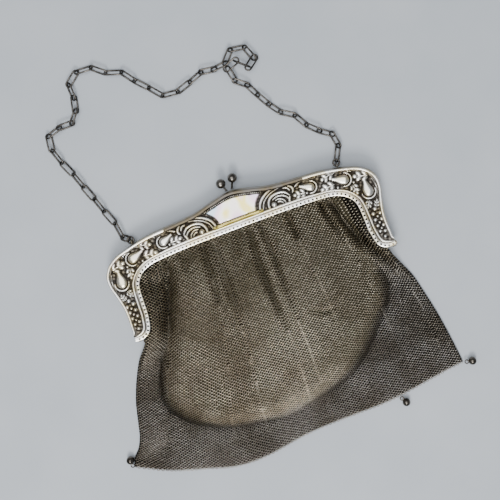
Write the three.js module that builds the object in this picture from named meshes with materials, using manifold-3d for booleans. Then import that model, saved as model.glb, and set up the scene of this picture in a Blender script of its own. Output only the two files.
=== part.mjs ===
// A metal mesh purse lying on its back: two pressed frame halves hinged at the feet of their
// legs, a hollow bag of linked rings with a cloth lining, a chain handle and small drop balls.
// Millimetres. X runs along the frame, Y from the bag's hem towards the chain, Z up off the
// surface. Inside the purse group the origin is midway between the two hinges, and the group is
// moved so that the part's origin lies under the middle of the frame's top bar.

import * as THREE from 'three';
import { mergeVertices } from 'three/addons/utils/BufferGeometryUtils.js';
import Module from 'manifold-3d';

const wasm = await Module();
wasm.setup();

// Frame
const frameHalfWidth = 73.7;
const frameHeight = 55.6;
const plateWidth = 12.4;
const halfDepth = 5.2;
const partingGap = 0.3;
const sheet = 0.7;
const wallDraft = 1.1;
const outerRim = 1.9;
const innerRim = 1.0;
const rimSlope = 0.35;
const fieldDrop = 0.5;
const stripWidth = 1.9;
const stripDrop = 0.5;
const holeSize = 0.72;
const holePitch = 2.12;
const holeSides = 4;
const reliefHeight = 1.3;
const plaqueRise = 0.35;
const plaqueHalfWidth = 14;
const plaqueLift = 3.2;
const plaqueMargin = 1.2;
const reliefRoot = 0.4;
const originBelowTop = 10.6;

// Hinges
const earRadius = 1.7;
const earSheet = 0.8;
const earLength = 5.5;
const hingeHeight = 1.1;
const pinRadius = 0.6;
const pinHead = 1.1;
const pinHeadThick = 0.5;
const fitGap = 0.3;

// Clasp knobs
const knobRadius = 2.5;
const knobStalk = 0.6;
const knobFoot = 2.6;

// Bag and lining
const bagDrop = 79.6;
const bagHalfWidth = 98;
const liningHalfWidth = 70;
const liningDrop = 60;
const meshWall = 0.8;
const liningWall = 1.0;
const marginThick = 2.4;
const pouchRise = 11.2;
const foldDepth = 1.9;
const hemInset = 1.6;
const mouthStart = 4.5;
const clearRun = 1.8;
const clearDrop = 4;
const legBow = 4;
const sideSway = 2.2;
const meshClearance = 0.1;
const leastMeet = 0.6;
const footTaper = 0.9;
const footLift = 0.3;
const footRun = 0.06;
const footThick = 2.5;
const floorThick = 3.5;
const liningSideWall = 1.5;

// Chain and rings
const linkWire = 0.8;
const leastStep = 0.7;
const crossing = 30;
const linkWidth = 4.0;
const linkPitch = 8.3;
const linkSlack = 0.4;
const linkRoll = 45;
const endLinkPitch = 3.6;
const ringWire = 0.8;
const ringWidth = 4.2;
const eyeWire = 0.8;
const eyeWidth = 3.6;
const eyePlace = 56.2;
const surfaceClearance = 0.05;
const linkSides = 10;
const wireSides = 5;

// Drop balls on the hem
const dropRadius = 2.05;
const dropLoopWidth = 2.4;
const dropWire = 0.6;

const partingHeight = halfDepth + partingGap;
const frameCentre = frameHeight - originBelowTop;

const dark = new THREE.Color(0x3b3a38);
const silver = new THREE.Color(0xb9b6ae);
const bronze = new THREE.Color(0x5b574d);
const olive = new THREE.Color(0x6f6a52);

const purse = new THREE.Group();
purse.position.set(0, -frameCentre, 0);

// Solids from points and faces

function solidFrom(points, faces) {
  let volume = 0;
  for (const [a, b, c] of faces) volume += points[a].dot(points[b].clone().cross(points[c]));
  const ordered = volume < 0 ? faces.map(([a, b, c]) => [a, c, b]) : faces;
  return new wasm.Manifold(new wasm.Mesh({
    numProp: 3,
    vertProperties: new Float32Array(points.flatMap((p) => [p.x, p.y, p.z])),
    triVerts: new Uint32Array(ordered.flat()),
  }));
}

function solidFromGeometry(geometry) {
  const bare = geometry.clone();
  bare.deleteAttribute('normal');
  bare.deleteAttribute('uv');
  const merged = mergeVertices(bare, 1e-4);
  return new wasm.Manifold(new wasm.Mesh({
    numProp: 3,
    vertProperties: new Float32Array(merged.attributes.position.array),
    triVerts: new Uint32Array(merged.index.array),
  }));
}

function geometryFrom(solid) {
  const mesh = solid.getMesh();
  const geometry = new THREE.BufferGeometry();
  geometry.setAttribute('position', new THREE.BufferAttribute(mesh.vertProperties, 3));
  geometry.setIndex(new THREE.BufferAttribute(mesh.triVerts, 1));
  return geometry;
}

function addPiece(name, solid, color, roughness, metalness) {
  const geometry = geometryFrom(solid).toNonIndexed();
  geometry.computeVertexNormals();
  const material = new THREE.MeshStandardMaterial({ color, roughness, metalness });
  const piece = new THREE.Mesh(geometry, material);
  piece.name = name;
  purse.add(piece);
}

function union(solids) {
  return solids.reduce((sum, solid) => sum.add(solid));
}

// A skin stretched over closed rings of equally many points, with its two ends capped.
function loft(rings, capFaces, closed = false) {
  const count = rings[0].length;
  const faces = [];
  const steps = closed ? rings.length : rings.length - 1;
  for (let r = 0; r < steps; r += 1) {
    for (let i = 0; i < count; i += 1) {
      const next = (i + 1) % count;
      const a = r * count + i;
      const b = r * count + next;
      const c = ((r + 1) % rings.length) * count + i;
      const d = ((r + 1) % rings.length) * count + next;
      faces.push([a, b, d], [a, d, c]);
    }
  }
  if (!closed) {
    const last = (rings.length - 1) * count;
    for (const [a, b, c] of capFaces) {
      faces.push([a, c, b], [last + a, last + b, last + c]);
    }
  }
  return solidFrom(rings.flat(), faces);
}

// Wire rings and links

// A closed link of round wire: two half circles joined by straights, lying along X.
function linkSolid(width, wire, length, roll = 0) {
  const radius = (width - wire) / 2;
  const straight = length / 2;
  const quarter = (linkSides - 2) / 2;
  const rings = [];
  for (const side of [1, -1]) {
    for (let i = 0; i <= quarter; i += 1) {
      const angle = -Math.PI / 2 + (Math.PI * i) / quarter;
      const out = new THREE.Vector3(side * Math.cos(angle), side * Math.sin(angle), 0);
      const centre = new THREE.Vector3(side * straight, 0, 0).addScaledVector(out, radius);
      rings.push(wireRing(centre, out, wire / 2));
    }
  }
  const solid = loft(length > 0 ? rings : rings.filter((_, i) => i % (quarter + 1) !== 0), [], true);
  return solid.rotate([roll, 0, 0]);
}

function wireRing(centre, out, radius) {
  const ring = [];
  for (let k = 0; k < wireSides; k += 1) {
    const turn = (2 * Math.PI * k) / wireSides;
    ring.push(centre.clone()
      .addScaledVector(out, radius * Math.cos(turn))
      .add(new THREE.Vector3(0, 0, radius * Math.sin(turn))));
  }
  return ring;
}

function ballSolid(radius) {
  return solidFromGeometry(new THREE.SphereGeometry(radius, 10, 6));
}

// A straight round rod between two points.
function rodSolid(from, to, radiusFrom, radiusTo, sides = 6) {
  const length = from.distanceTo(to);
  const rod = new THREE.CylinderGeometry(radiusTo, radiusFrom, length, sides);
  rod.translate(0, length / 2, 0);
  rod.applyQuaternion(new THREE.Quaternion().setFromUnitVectors(
    new THREE.Vector3(0, 1, 0),
    to.clone().sub(from).normalize(),
  ));
  rod.translate(from.x, from.y, from.z);
  return solidFromGeometry(rod);
}

// Frame outline: a row for each station from the foot of the left leg to the middle of the hump.
// outX and outY are shares of frameHalfWidth and frameHeight, turn is the way in across the plate
// in degrees and width is a share of plateWidth.
const frameStations = [
  { outX: 0.954, outY: 0.076, turn: -80.0, width: 0.14 },
  { outX: 0.954, outY: 0.108, turn: -48.5, width: 0.38 },
  { outX: 0.955, outY: 0.153, turn: -40.6, width: 0.63 },
  { outX: 0.955, outY: 0.252, turn: -21.9, width: 0.76 },
  { outX: 0.961, outY: 0.342, turn: -5.9, width: 0.78 },
  { outX: 0.981, outY: 0.459, turn: -2.5, width: 0.93 },
  { outX: 1.000, outY: 0.567, turn: -11.0, width: 1.14 },
  { outX: 0.998, outY: 0.648, turn: -15.8, width: 1.31 },
  { outX: 0.966, outY: 0.728, turn: -22.8, width: 1.37 },
  { outX: 0.902, outY: 0.793, turn: -30.0, width: 1.35 },
  { outX: 0.807, outY: 0.836, turn: -40.1, width: 1.21 },
  { outX: 0.678, outY: 0.874, turn: -54.5, width: 1.11 },
  { outX: 0.407, outY: 0.906, turn: -85.4, width: 1.00 },
  { outX: 0.271, outY: 0.923, turn: -90.0, width: 1.06 },
  { outX: 0.136, outY: 0.968, turn: -90.0, width: 1.26 },
  { outX: 0.000, outY: 1.000, turn: -90.0, width: 1.40 },
];

function stationAt(row, side) {
  const turn = THREE.MathUtils.degToRad(row.turn);
  const across = new THREE.Vector2(-side * Math.cos(turn), Math.sin(turn));
  const outer = new THREE.Vector2(side * row.outX * frameHalfWidth, row.outY * frameHeight);
  const width = row.width * plateWidth;
  return { outer, across, width, inner: outer.clone().addScaledVector(across, width) };
}

const stations = [
  ...frameStations.map((row) => stationAt(row, -1)),
  ...frameStations.slice(0, -1).reverse().map((row) => stationAt(row, 1)),
];
stations.forEach((station, i) => {
  const before = stations[Math.max(i - 1, 0)].inner;
  const after = stations[Math.min(i + 1, stations.length - 1)].inner;
  const along = after.clone().sub(before).normalize();
  station.inward = new THREE.Vector2(along.y, -along.x);
});

// A point of the frame's section: how far in from the outline, then how far past the plate's
// inner line, and its height above the parting plane.
function sectionPoint(station, inFromOutline, pastInner, height, face) {
  const place = station.outer.clone()
    .addScaledVector(station.across, inFromOutline)
    .addScaledVector(station.inward, pastInner);
  const z = face > 0 ? partingHeight + height : halfDepth - height;
  return new THREE.Vector3(place.x, place.y, z);
}

function frameSection(station, face) {
  const crest = halfDepth;
  const field = halfDepth - fieldDrop;
  const strip = halfDepth - stripDrop;
  const under = strip - sheet;
  const shrink = Math.min(1, station.width / (outerRim + innerRim + 4 * rimSlope));
  const width = station.width;
  const rim = outerRim * shrink;
  const lip = innerRim * shrink;
  const slope = rimSlope * shrink;
  const draft = wallDraft * shrink;
  const top = [
    [0, 0, 0],
    [draft, 0, crest],
  ];
  if (face > 0) {
    top.push([rim, 0, crest], [rim + slope, 0, field]);
    top.push([width - lip - slope, 0, field], [width - lip, 0, crest]);
  }
  top.push([width - slope / 2, 0, crest], [width, 0, strip], [width, stripWidth, strip]);
  const wall = sheet * shrink;
  const inside = [[width, stripWidth, under], [draft * 0.8 + wall, 0, under], [wall, 0, 0]];
  return [...top, ...inside].map(([a, b, h]) => sectionPoint(station, a, b, h, face));
}

function frameHalf(face) {
  const rings = stations.map((station) => frameSection(station, face));
  const across = new THREE.Vector2(1, 0);
  const straight = { outer: new THREE.Vector2(), across, inward: across, width: plateWidth };
  const flat = frameSection(straight, face).map((p) => new THREE.Vector2(p.x, face * p.z));
  const order = flat.map((_, i) => (THREE.ShapeUtils.isClockWise(flat) ? flat.length - 1 - i : i));
  const caps = THREE.ShapeUtils.triangulateShape(order.map((i) => flat[i]), [])
    .map((face3) => face3.map((i) => order[i]));
  const turned = order[0] === 0 ? caps : caps.map(([a, b, c]) => [a, c, b]);
  return loft(rings, turned);
}

// The line of holes down the middle of the strip, walked at an even pitch.
function stripLine(share) {
  return stations.map(({ inner, inward }) => inner.clone().addScaledVector(inward, share * stripWidth));
}

function lineLength(line) {
  return line.slice(1).reduce((sum, point, i) => sum + point.distanceTo(line[i]), 0);
}

function pointAlong(line, distance) {
  let left = distance;
  for (let i = 1; i < line.length; i += 1) {
    const step = line[i].distanceTo(line[i - 1]);
    if (left <= step) return line[i - 1].clone().lerp(line[i], left / step);
    left -= step;
  }
  return line.at(-1).clone();
}

function stripHoles() {
  const line = stripLine(0.5);
  const length = lineLength(line);
  const count = Math.floor((length - 2 * holePitch) / holePitch) + 1;
  const start = (length - (count - 1) * holePitch) / 2;
  const shapes = [];
  for (let i = 0; i < count; i += 1) {
    const centre = pointAlong(line, start + i * holePitch);
    const shape = new THREE.Shape();
    for (let k = 0; k < holeSides; k += 1) {
      const turn = (2 * Math.PI * k) / holeSides;
      const x = centre.x + (holeSize / 2) * Math.cos(turn);
      const y = centre.y + (holeSize / 2) * Math.sin(turn);
      if (k === 0) shape.moveTo(x, y);
      else shape.lineTo(x, y);
    }
    shape.closePath();
    shapes.push(shape);
  }
  const rods = new THREE.ExtrudeGeometry(shapes, { depth: 3 * sheet, bevelEnabled: false });
  rods.translate(0, 0, partingHeight + halfDepth - stripDrop - 2 * sheet);
  return solidFromGeometry(rods);
}

// Relief on the front plate

const fieldLevel = partingHeight + halfDepth - fieldDrop;

// A place on the left side of the plate from shares of frameHalfWidth and frameHeight.
function onPlate(shareX, shareY) {
  return new THREE.Vector2(-shareX * frameHalfWidth, shareY * frameHeight);
}

// A pear lying on the plate, its neck pointing towards its second place.
function pearSolid(pear) {
  const place = onPlate(pear.x, pear.y);
  const neck = onPlate(pear.neckX, pear.neckY).sub(place);
  const radius = (pear.size * plateWidth) / 2;
  const length = neck.length() + radius * 0.4;
  const profile = [
    [0, -radius], [0.8 * radius, -0.6 * radius], [0.95 * radius, 0.3 * radius],
    [0.38 * radius, 0.4 * radius + 0.6 * length], [0, length],
  ].map(([r, h]) => new THREE.Vector2(r, h));
  const body = new THREE.LatheGeometry(profile, 8);
  body.scale(1, 1, reliefHeight / radius);
  body.rotateZ(neck.angle() - Math.PI / 2);
  body.translate(place.x, place.y, fieldLevel);
  return solidFromGeometry(body);
}

// A leaf with a raised midrib, pointed at both ends, round a place on the plate.
function leafSolid(place, length, width, turn) {
  const outline = [[-0.5, 0], [-0.18, 0.5], [0.2, 0.42], [0.5, 0], [0.2, -0.42], [-0.18, -0.5]];
  const points = outline.map(([a, b]) => new THREE.Vector3(a * length, b * width, -reliefRoot));
  points.push(new THREE.Vector3(-0.2 * length, 0, 0.62 * reliefHeight));
  points.push(new THREE.Vector3(0.22 * length, 0, 0.5 * reliefHeight));
  const faces = [[0, 6, 1], [1, 6, 7], [1, 7, 2], [2, 7, 3], [3, 7, 4], [4, 7, 6], [4, 6, 5], [5, 6, 0],
    [0, 1, 5], [1, 2, 5], [2, 4, 5], [2, 3, 4]];
  return solidFrom(points, faces).rotate([0, 0, turn]).translate([place.x, place.y, fieldLevel]);
}

function berrySolid(place, size) {
  const berry = new THREE.OctahedronGeometry(size / 2);
  berry.scale(1, 1, (0.75 * reliefHeight) / (size / 2));
  berry.translate(place.x, place.y, fieldLevel);
  return solidFromGeometry(berry);
}

// A scrolled shell: a curl of wire section and ribs that spread from it.
function scrollSolids({ x, y, size, ribs, ribLength, ribWidth, from, to }) {
  const place = onPlate(x, y);
  const radius = (size * plateWidth) / 2;
  const length = ribLength * plateWidth;
  const curl = new THREE.TorusGeometry(radius, 0.3 * radius, 4, 8);
  curl.scale(1, 1, 1.2);
  curl.translate(place.x, place.y, fieldLevel);
  const solids = [solidFromGeometry(curl)];
  for (let i = 0; i < ribs; i += 1) {
    const turn = from + ((to - from) * i) / (ribs - 1);
    const reach = new THREE.Vector2(radius + length / 2, 0);
    reach.rotateAround(new THREE.Vector2(), THREE.MathUtils.degToRad(turn));
    solids.push(leafSolid(place.clone().add(reach), length, ribWidth * plateWidth, turn));
  }
  return solids;
}

// Motifs of the left side; the right side mirrors them. Places are shares of frameHalfWidth and
// frameHeight, sizes are shares of plateWidth and turns are degrees.
const pears = [
  { x: 0.547, y: 0.770, size: 0.50, neckX: 0.486, neckY: 0.813 },
  { x: 0.773, y: 0.727, size: 0.53, neckX: 0.700, neckY: 0.790 },
  { x: 0.898, y: 0.561, size: 0.50, neckX: 0.909, neckY: 0.673 },
];
const leaves = [
  { x: 0.887, y: 0.727, length: 0.44, width: 0.24, turn: 35 },
  { x: 0.646, y: 0.817, length: 0.45, width: 0.21, turn: 12 },
  { x: 0.646, y: 0.719, length: 0.44, width: 0.24, turn: 25 },
  { x: 0.839, y: 0.622, length: 0.40, width: 0.23, turn: 55 },
  { x: 0.450, y: 0.745, length: 0.42, width: 0.24, turn: 60 },
];
const berryRows = [
  { y: 0.442, out: 0.931, in: 0.867, size: 0.24 },
  { y: 0.371, out: 0.921, in: 0.871, size: 0.23 },
  { y: 0.302, out: 0.916, in: 0.874, size: 0.20 },
  { y: 0.241, out: 0.915, in: 0.878, size: 0.18 },
  { y: 0.187, out: 0.913, in: 0.882, size: 0.15 },
];
const scroll = {
  x: 0.271, y: 0.770, size: 0.37, ribs: 5, ribLength: 0.4, ribWidth: 0.18, from: 60, to: 200,
};

function berryPair(row) {
  const size = row.size * plateWidth;
  const inner = onPlate(row.in, row.y);
  inner.y -= size / 2;
  return [berrySolid(onPlate(row.out, row.y), size), berrySolid(inner, size)];
}

// The smooth raised plaque under the hump, its upper side following the outline.
function plaqueSolid() {
  const half = plaqueHalfWidth;
  const corner = 0.18 * half;
  const low = stations[Math.floor(stations.length / 2)].inner.y + plaqueLift;
  const top = frameHeight - outerRim - plaqueMargin;
  const shoulder = THREE.MathUtils.lerp(low, top, 0.62);
  const waist = THREE.MathUtils.lerp(low, top, 0.25);
  const brow = THREE.MathUtils.lerp(low, top, 0.94);
  const shape = new THREE.Shape();
  shape.moveTo(corner - half, low);
  shape.lineTo(half - corner, low);
  shape.quadraticCurveTo(half, waist, half + corner / 2, shoulder);
  shape.quadraticCurveTo(half / 2, brow, 0, top);
  shape.quadraticCurveTo(-half / 2, brow, -half - corner / 2, shoulder);
  shape.quadraticCurveTo(-half, waist, corner - half, low);
  const plaque = new THREE.ExtrudeGeometry(shape, {
    depth: 2 * reliefRoot,
    steps: 1,
    curveSegments: 3,
    bevelThickness: plaqueRise,
    bevelSize: 0.5,
    bevelOffset: -0.5,
    bevelSegments: 1,
  });
  plaque.translate(0, 0, fieldLevel - 2 * reliefRoot);
  return solidFromGeometry(plaque);
}

function reliefSolids() {
  const solids = [plaqueSolid()];
  for (const side of [-1, 1]) {
    const group = [
      ...pears.map(pearSolid),
      ...leaves.map(({ x, y, length, width, turn }) => (
        leafSolid(onPlate(x, y), length * plateWidth, width * plateWidth, turn)
      )),
      ...berryRows.flatMap(berryPair),
      ...scrollSolids(scroll),
    ];
    solids.push(...group.map((solid) => (side < 0 ? solid : solid.mirror([1, 0, 0]))));
  }
  return solids;
}

// Hinges: an ear on each half, the front one outside, with a rivet through both.

const pivot = new THREE.Vector3(0, hingeHeight, halfDepth + partingGap / 2);
const frontEarX = stations.at(-1).outer.x;
const backEarX = frontEarX - earSheet - fitGap;

function discSolid(x, radius, thick, sides = 12) {
  const disc = new THREE.CylinderGeometry(radius, radius, thick, sides);
  disc.rotateZ(Math.PI / 2);
  disc.translate(x - thick / 2, pivot.y, pivot.z);
  return solidFromGeometry(disc);
}

function boxSolid(low, high) {
  const box = new THREE.BoxGeometry(high.x - low.x, high.y - low.y, high.z - low.z);
  box.translate((low.x + high.x) / 2, (low.y + high.y) / 2, (low.z + high.z) / 2);
  return solidFromGeometry(box);
}

function frontEar() {
  const web = boxSolid(
    new THREE.Vector3(frontEarX - earSheet, pivot.y - 0.6 * earRadius, pivot.z),
    new THREE.Vector3(frontEarX, pivot.y + earLength, partingHeight + halfDepth * 0.45),
  );
  const clear = boxSolid(
    new THREE.Vector3(frontEarX - earSheet - 1, pivot.y + earRadius, 0),
    new THREE.Vector3(frontEarX + 1, pivot.y + earLength + 1, partingHeight),
  );
  return discSolid(frontEarX, earRadius, earSheet).add(web).subtract(clear);
}

function backEar() {
  const web = boxSolid(
    new THREE.Vector3(backEarX - earSheet, pivot.y - 0.8 * earRadius, stripDrop + 0.2),
    new THREE.Vector3(backEarX, pivot.y + 0.8 * earRadius, pivot.z),
  );
  return discSolid(backEarX, earRadius, earSheet).add(web);
}

function onBothSides(solid) {
  return [solid, solid.mirror([1, 0, 0])];
}

// The eye that holds a chain end, standing on the back half's top wall.
const topLine = stations.map((station) => station.outer);

function topPointAt(x) {
  for (let i = 1; i < topLine.length; i += 1) {
    const [a, b] = [topLine[i - 1], topLine[i]];
    if (a.y > frameHeight / 2 && b.y > frameHeight / 2 && a.x <= x && b.x >= x) {
      return a.clone().lerp(b, (x - a.x) / (b.x - a.x));
    }
  }
  return topLine[0].clone();
}

function eyeCentre(side) {
  const foot = topPointAt(side * eyePlace);
  const sunk = wallDraft / 2 + 0.6 * eyeWire;
  return new THREE.Vector3(foot.x, foot.y + eyeWidth / 2 - sunk, halfDepth / 2);
}

function eyeSolid(side) {
  const centre = eyeCentre(side);
  return linkSolid(eyeWidth, eyeWire, 0).rotate([0, 90, 0]).translate(centre.toArray());
}

function frontHalfSolid() {
  const ear = onBothSides(frontEar());
  return union([frameHalf(1).subtract(stripHoles()), ...reliefSolids(), ...ear])
    .subtract(union(onBothSides(discSolid(frontEarX + 1, pinRadius + fitGap, 3, 8))));
}

function backHalfSolid() {
  const notch = discSolid(frontEarX + 1, earRadius + fitGap, earSheet + 1 + fitGap);
  const plate = frameHalf(-1).subtract(union(onBothSides(notch)));
  const bores = union(onBothSides(discSolid(backEarX + 0.5, pinRadius + fitGap, 3, 8)));
  return union([plate, ...onBothSides(backEar()), eyeSolid(-1), eyeSolid(1)]).subtract(bores);
}

function hingePin() {
  const inner = backEarX - earSheet - fitGap;
  const outer = frontEarX + fitGap;
  return union([
    discSolid(outer + pinHeadThick, pinHead, pinHeadThick, 8),
    discSolid(outer + pinHeadThick / 2, pinRadius, outer - inner + pinHeadThick, 8),
    discSolid(inner, pinHead, pinHeadThick, 8),
  ]);
}

// Clasp knobs: a ball on a leaning stalk, riveted to the top wall of each half.
const knobs = [
  { name: 'clasp_knob_front', footX: -1.0, lean: -1.6, rise: 4.9, half: 1, ballHeight: 6.3 },
  { name: 'clasp_knob_back', footX: 1.6, lean: 2.2, rise: 5.7, half: -1, ballHeight: 4.8 },
];

function knobSolid({ footX, lean, rise, half, ballHeight }) {
  const top = topPointAt(footX);
  const footHeight = partingHeight - partingGap / 2 + half * knobFoot;
  const foot = new THREE.Vector3(footX, top.y + fitGap, footHeight);
  const collar = foot.clone().add(new THREE.Vector3(0, 0.8, 0));
  const ball = new THREE.Vector3(footX + lean, top.y + rise, ballHeight);
  return union([
    rodSolid(foot, collar, 1.4 * knobStalk, 1.4 * knobStalk),
    rodSolid(collar.clone().add(new THREE.Vector3(0, -0.2, 0)), ball, knobStalk, knobStalk),
    ballSolid(knobRadius).translate(ball.toArray()),
  ]);
}

// Bag. Each row is a column of the bag from the frame to the hem: along is its share of the mouth,
// edgeX and edgeY where the lining ends (shares of liningHalfWidth and liningDrop), hemX and hemY
// where the hem is (shares of bagHalfWidth and bagDrop), puff how far the lining fills it and fold
// its share of foldDepth, valleys negative. bow is how far it bends in beside a leg, a share of
// legBow.
const bagColumns = [
  { along: 0.000, edgeX: -0.993, edgeY: 0.075, hemX: -0.972, hemY: 0.735, puff: 0.0, fold: 0.0, bow: 0.0 },
  { along: 0.030, edgeX: -0.980, edgeY: 0.267, hemX: -0.932, hemY: 0.790, puff: 0.3, fold: 0.0, bow: 0.3 },
  { along: 0.085, edgeX: -0.960, edgeY: 0.467, hemX: -0.857, hemY: 0.842, puff: 0.7, fold: -0.2, bow: 0.8 },
  { along: 0.150, edgeX: -0.957, edgeY: 0.617, hemX: -0.755, hemY: 0.892, puff: 0.9, fold: -0.9, bow: 1.0 },
  { along: 0.205, edgeX: -0.886, edgeY: 0.725, hemX: -0.643, hemY: 0.930, puff: 1.0, fold: 0.3, bow: 0.3 },
  { along: 0.250, edgeX: -0.757, edgeY: 0.842, hemX: -0.531, hemY: 0.975, puff: 1.0, fold: -0.7, bow: 0.0 },
  { along: 0.341, edgeX: -0.486, edgeY: 0.970, hemX: -0.347, hemY: 1.000, puff: 1.0, fold: 0.2, bow: 0.0 },
  { along: 0.393, edgeX: -0.350, edgeY: 0.995, hemX: -0.245, hemY: 0.991, puff: 1.0, fold: -0.5, bow: 0.0 },
  { along: 0.440, edgeX: -0.221, edgeY: 1.000, hemX: -0.153, hemY: 0.971, puff: 1.0, fold: 0.2, bow: 0.0 },
  { along: 0.530, edgeX: 0.014, edgeY: 0.973, hemX: 0.020, hemY: 0.947, puff: 1.0, fold: -1.0, bow: 0.0 },
  { along: 0.560, edgeX: 0.107, edgeY: 0.960, hemX: 0.082, hemY: 0.942, puff: 1.0, fold: 0.1, bow: 0.0 },
  { along: 0.648, edgeX: 0.350, edgeY: 0.880, hemX: 0.276, hemY: 0.942, puff: 1.0, fold: -0.5, bow: 0.0 },
  { along: 0.697, edgeX: 0.479, edgeY: 0.783, hemX: 0.378, hemY: 0.942, puff: 1.0, fold: 0.3, bow: 0.0 },
  { along: 0.741, edgeX: 0.586, edgeY: 0.672, hemX: 0.459, hemY: 0.936, puff: 1.0, fold: -1.0, bow: 0.0 },
  { along: 0.790, edgeX: 0.686, edgeY: 0.550, hemX: 0.551, hemY: 0.920, puff: 0.9, fold: 0.2, bow: 0.2 },
  { along: 0.850, edgeX: 0.786, edgeY: 0.458, hemX: 0.653, hemY: 0.899, puff: 0.8, fold: -0.4, bow: 0.8 },
  { along: 0.915, edgeX: 0.864, edgeY: 0.350, hemX: 0.735, hemY: 0.887, puff: 0.6, fold: 0.0, bow: 0.8 },
  { along: 0.970, edgeX: 0.929, edgeY: 0.217, hemX: 0.796, hemY: 0.879, puff: 0.3, fold: 0.0, bow: 0.3 },
  { along: 1.000, edgeX: 0.971, edgeY: 0.100, hemX: 0.837, hemY: 0.873, puff: 0.0, fold: 0.0, bow: 0.0 },
];

// How the bag's height and its folds run down a column: 0 at the mouth, 1 at the lining's edge and
// 2 at the hem. rise is a share of pouchRise, fold of the column's own fold.
const bagRows = [
  { down: 0.00, inner: 0.00, rise: 0.00, fold: 0.0 },
  { down: 0.05, inner: 0.05, rise: 0.10, fold: 0.5 },
  { down: 0.25, inner: 0.25, rise: 0.60, fold: 1.0 },
  { down: 0.48, inner: 0.48, rise: 0.80, fold: 0.7 },
  { down: 0.76, inner: 0.74, rise: 1.00, fold: 0.1 },
  { down: 0.93, inner: 0.88, rise: 0.40, fold: 0.0 },
  { down: 1.04, inner: 0.98, rise: 0.00, fold: 0.0 },
  { down: 1.50, inner: 1.50, rise: 0.00, fold: 0.0 },
  { down: 2.00, inner: 2.00, rise: 0.00, fold: 0.0 },
];

const mouthLine = stripLine(0.5);
const mouthLength = lineLength(mouthLine) - 2 * mouthStart;
const mouthFront = partingHeight + halfDepth - stripDrop - sheet - fitGap;
const mouthBack = stripDrop + sheet + fitGap;

function columnPoint(column, down) {
  const mouth = pointAlong(mouthLine, mouthStart + column.along * mouthLength);
  const edge = new THREE.Vector2(column.edgeX * liningHalfWidth, -column.edgeY * liningDrop);
  const hem = new THREE.Vector2(column.hemX * bagHalfWidth, -column.hemY * bagDrop);
  if (down <= 1) {
    const place = mouth.lerp(edge, down);
    place.x -= Math.sign(column.edgeX) * column.bow * legBow * Math.sin(Math.PI * down);
    return place;
  }
  const share = down - 1;
  const place = edge.clone().lerp(hem, share);
  const side = Math.max(0, 1 - 6 * Math.min(column.along, 1 - column.along));
  const sway = column.along < 0.5 ? -Math.sin(2 * Math.PI * share) : Math.sin(Math.PI * share);
  place.x += side * sideSway * sway;
  return place;
}

// Heights of the bag's outer faces where a column reaches a row.
function frontHeight(column, row) {
  const flat = THREE.MathUtils.lerp(mouthFront, marginThick, Math.min(1, row.down));
  if (row.down >= 1) return marginThick;
  const full = row.down < footTaper
    ? THREE.MathUtils.lerp(mouthFront, pouchRise, row.rise)
    : THREE.MathUtils.lerp(marginThick, pouchRise, row.rise + footLift);
  return THREE.MathUtils.lerp(flat, full, column.puff) + column.fold * row.fold * foldDepth;
}

function distanceToLine(point, line) {
  let least = Infinity;
  for (let i = 1; i < line.length; i += 1) {
    const along = line[i].clone().sub(line[i - 1]);
    const share = THREE.MathUtils.clamp(point.clone().sub(line[i - 1]).dot(along) / along.lengthSq(), 0, 1);
    least = Math.min(least, point.distanceTo(line[i - 1].clone().addScaledVector(along, share)));
  }
  return least;
}

// The back stays behind the strip until it is clear of it, then comes down to the surface.
function backHeight(column, down) {
  const run = distanceToLine(columnPoint(column, down), mouthLine);
  return mouthBack * (1 - THREE.MathUtils.clamp((run - clearRun) / clearDrop, 0, 1));
}

// One closed turn round the bag: along the front from left to right, then back along the back.
function bagRing(columns, place, front, back) {
  const ahead = columns.map((column, i) => {
    const p = place(column, i);
    return new THREE.Vector3(p.x, p.y, front(column, i));
  });
  const behind = columns.map((column, i) => {
    const p = place(column, i);
    return new THREE.Vector3(p.x, p.y, back(column, i));
  }).reverse();
  return [...ahead, ...behind];
}

// The two long edges of an end ring, zipped together.
function zipFaces(count) {
  const faces = [];
  const last = 2 * count - 1;
  for (let i = 0; i < count - 1; i += 1) {
    faces.push([i, i + 1, last - i - 1], [i, last - i - 1, last - i]);
  }
  return faces;
}

function insetColumn(columns, i, down, inset) {
  const place = columnPoint(columns[i], down);
  const towards = i === 0 ? columnPoint(columns[1], down) : columnPoint(columns.at(-2), down);
  if (i !== 0 && i !== columns.length - 1) return place;
  return place.lerp(towards, Math.min(leastMeet, inset / place.distanceTo(towards)));
}

function bagSolid() {
  const outer = bagRows.map((row) => bagRing(
    bagColumns,
    (column) => columnPoint(column, row.down),
    (column) => frontHeight(column, row),
    (column) => backHeight(column, row.down),
  ));
  const inner = bagRows.map((row) => bagRing(
    bagColumns,
    (column, i) => {
      const length = columnPoint(column, 1).distanceTo(columnPoint(column, 2));
      const down = Math.min(row.inner, 2 - hemInset / length);
      return insetColumn(bagColumns, i, down, hemInset);
    },
    (column) => frontHeight(column, row) - meshWall,
    (column) => backHeight(column, row.down) + meshWall,
  ));
  const bag = loft([...outer.reverse(), ...inner], zipFaces(bagColumns.length));
  return bag.subtract(union(onBothSides(hingeRoom())));
}

// The room that the mesh leaves for the rivet of the hinge.
function hingeRoom() {
  const inside = backEarX - earSheet - fitGap - pinHeadThick - meshClearance;
  const radius = pinHead + meshClearance;
  return discSolid(frontEarX + earLength, radius, frontEarX + earLength - inside);
}

// The lining: a cloth pouch just inside the mesh, down to the raised edge.
const liningColumns = bagColumns.slice(2, -2);
const liningRows = bagRows.slice(1, 5);

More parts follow.
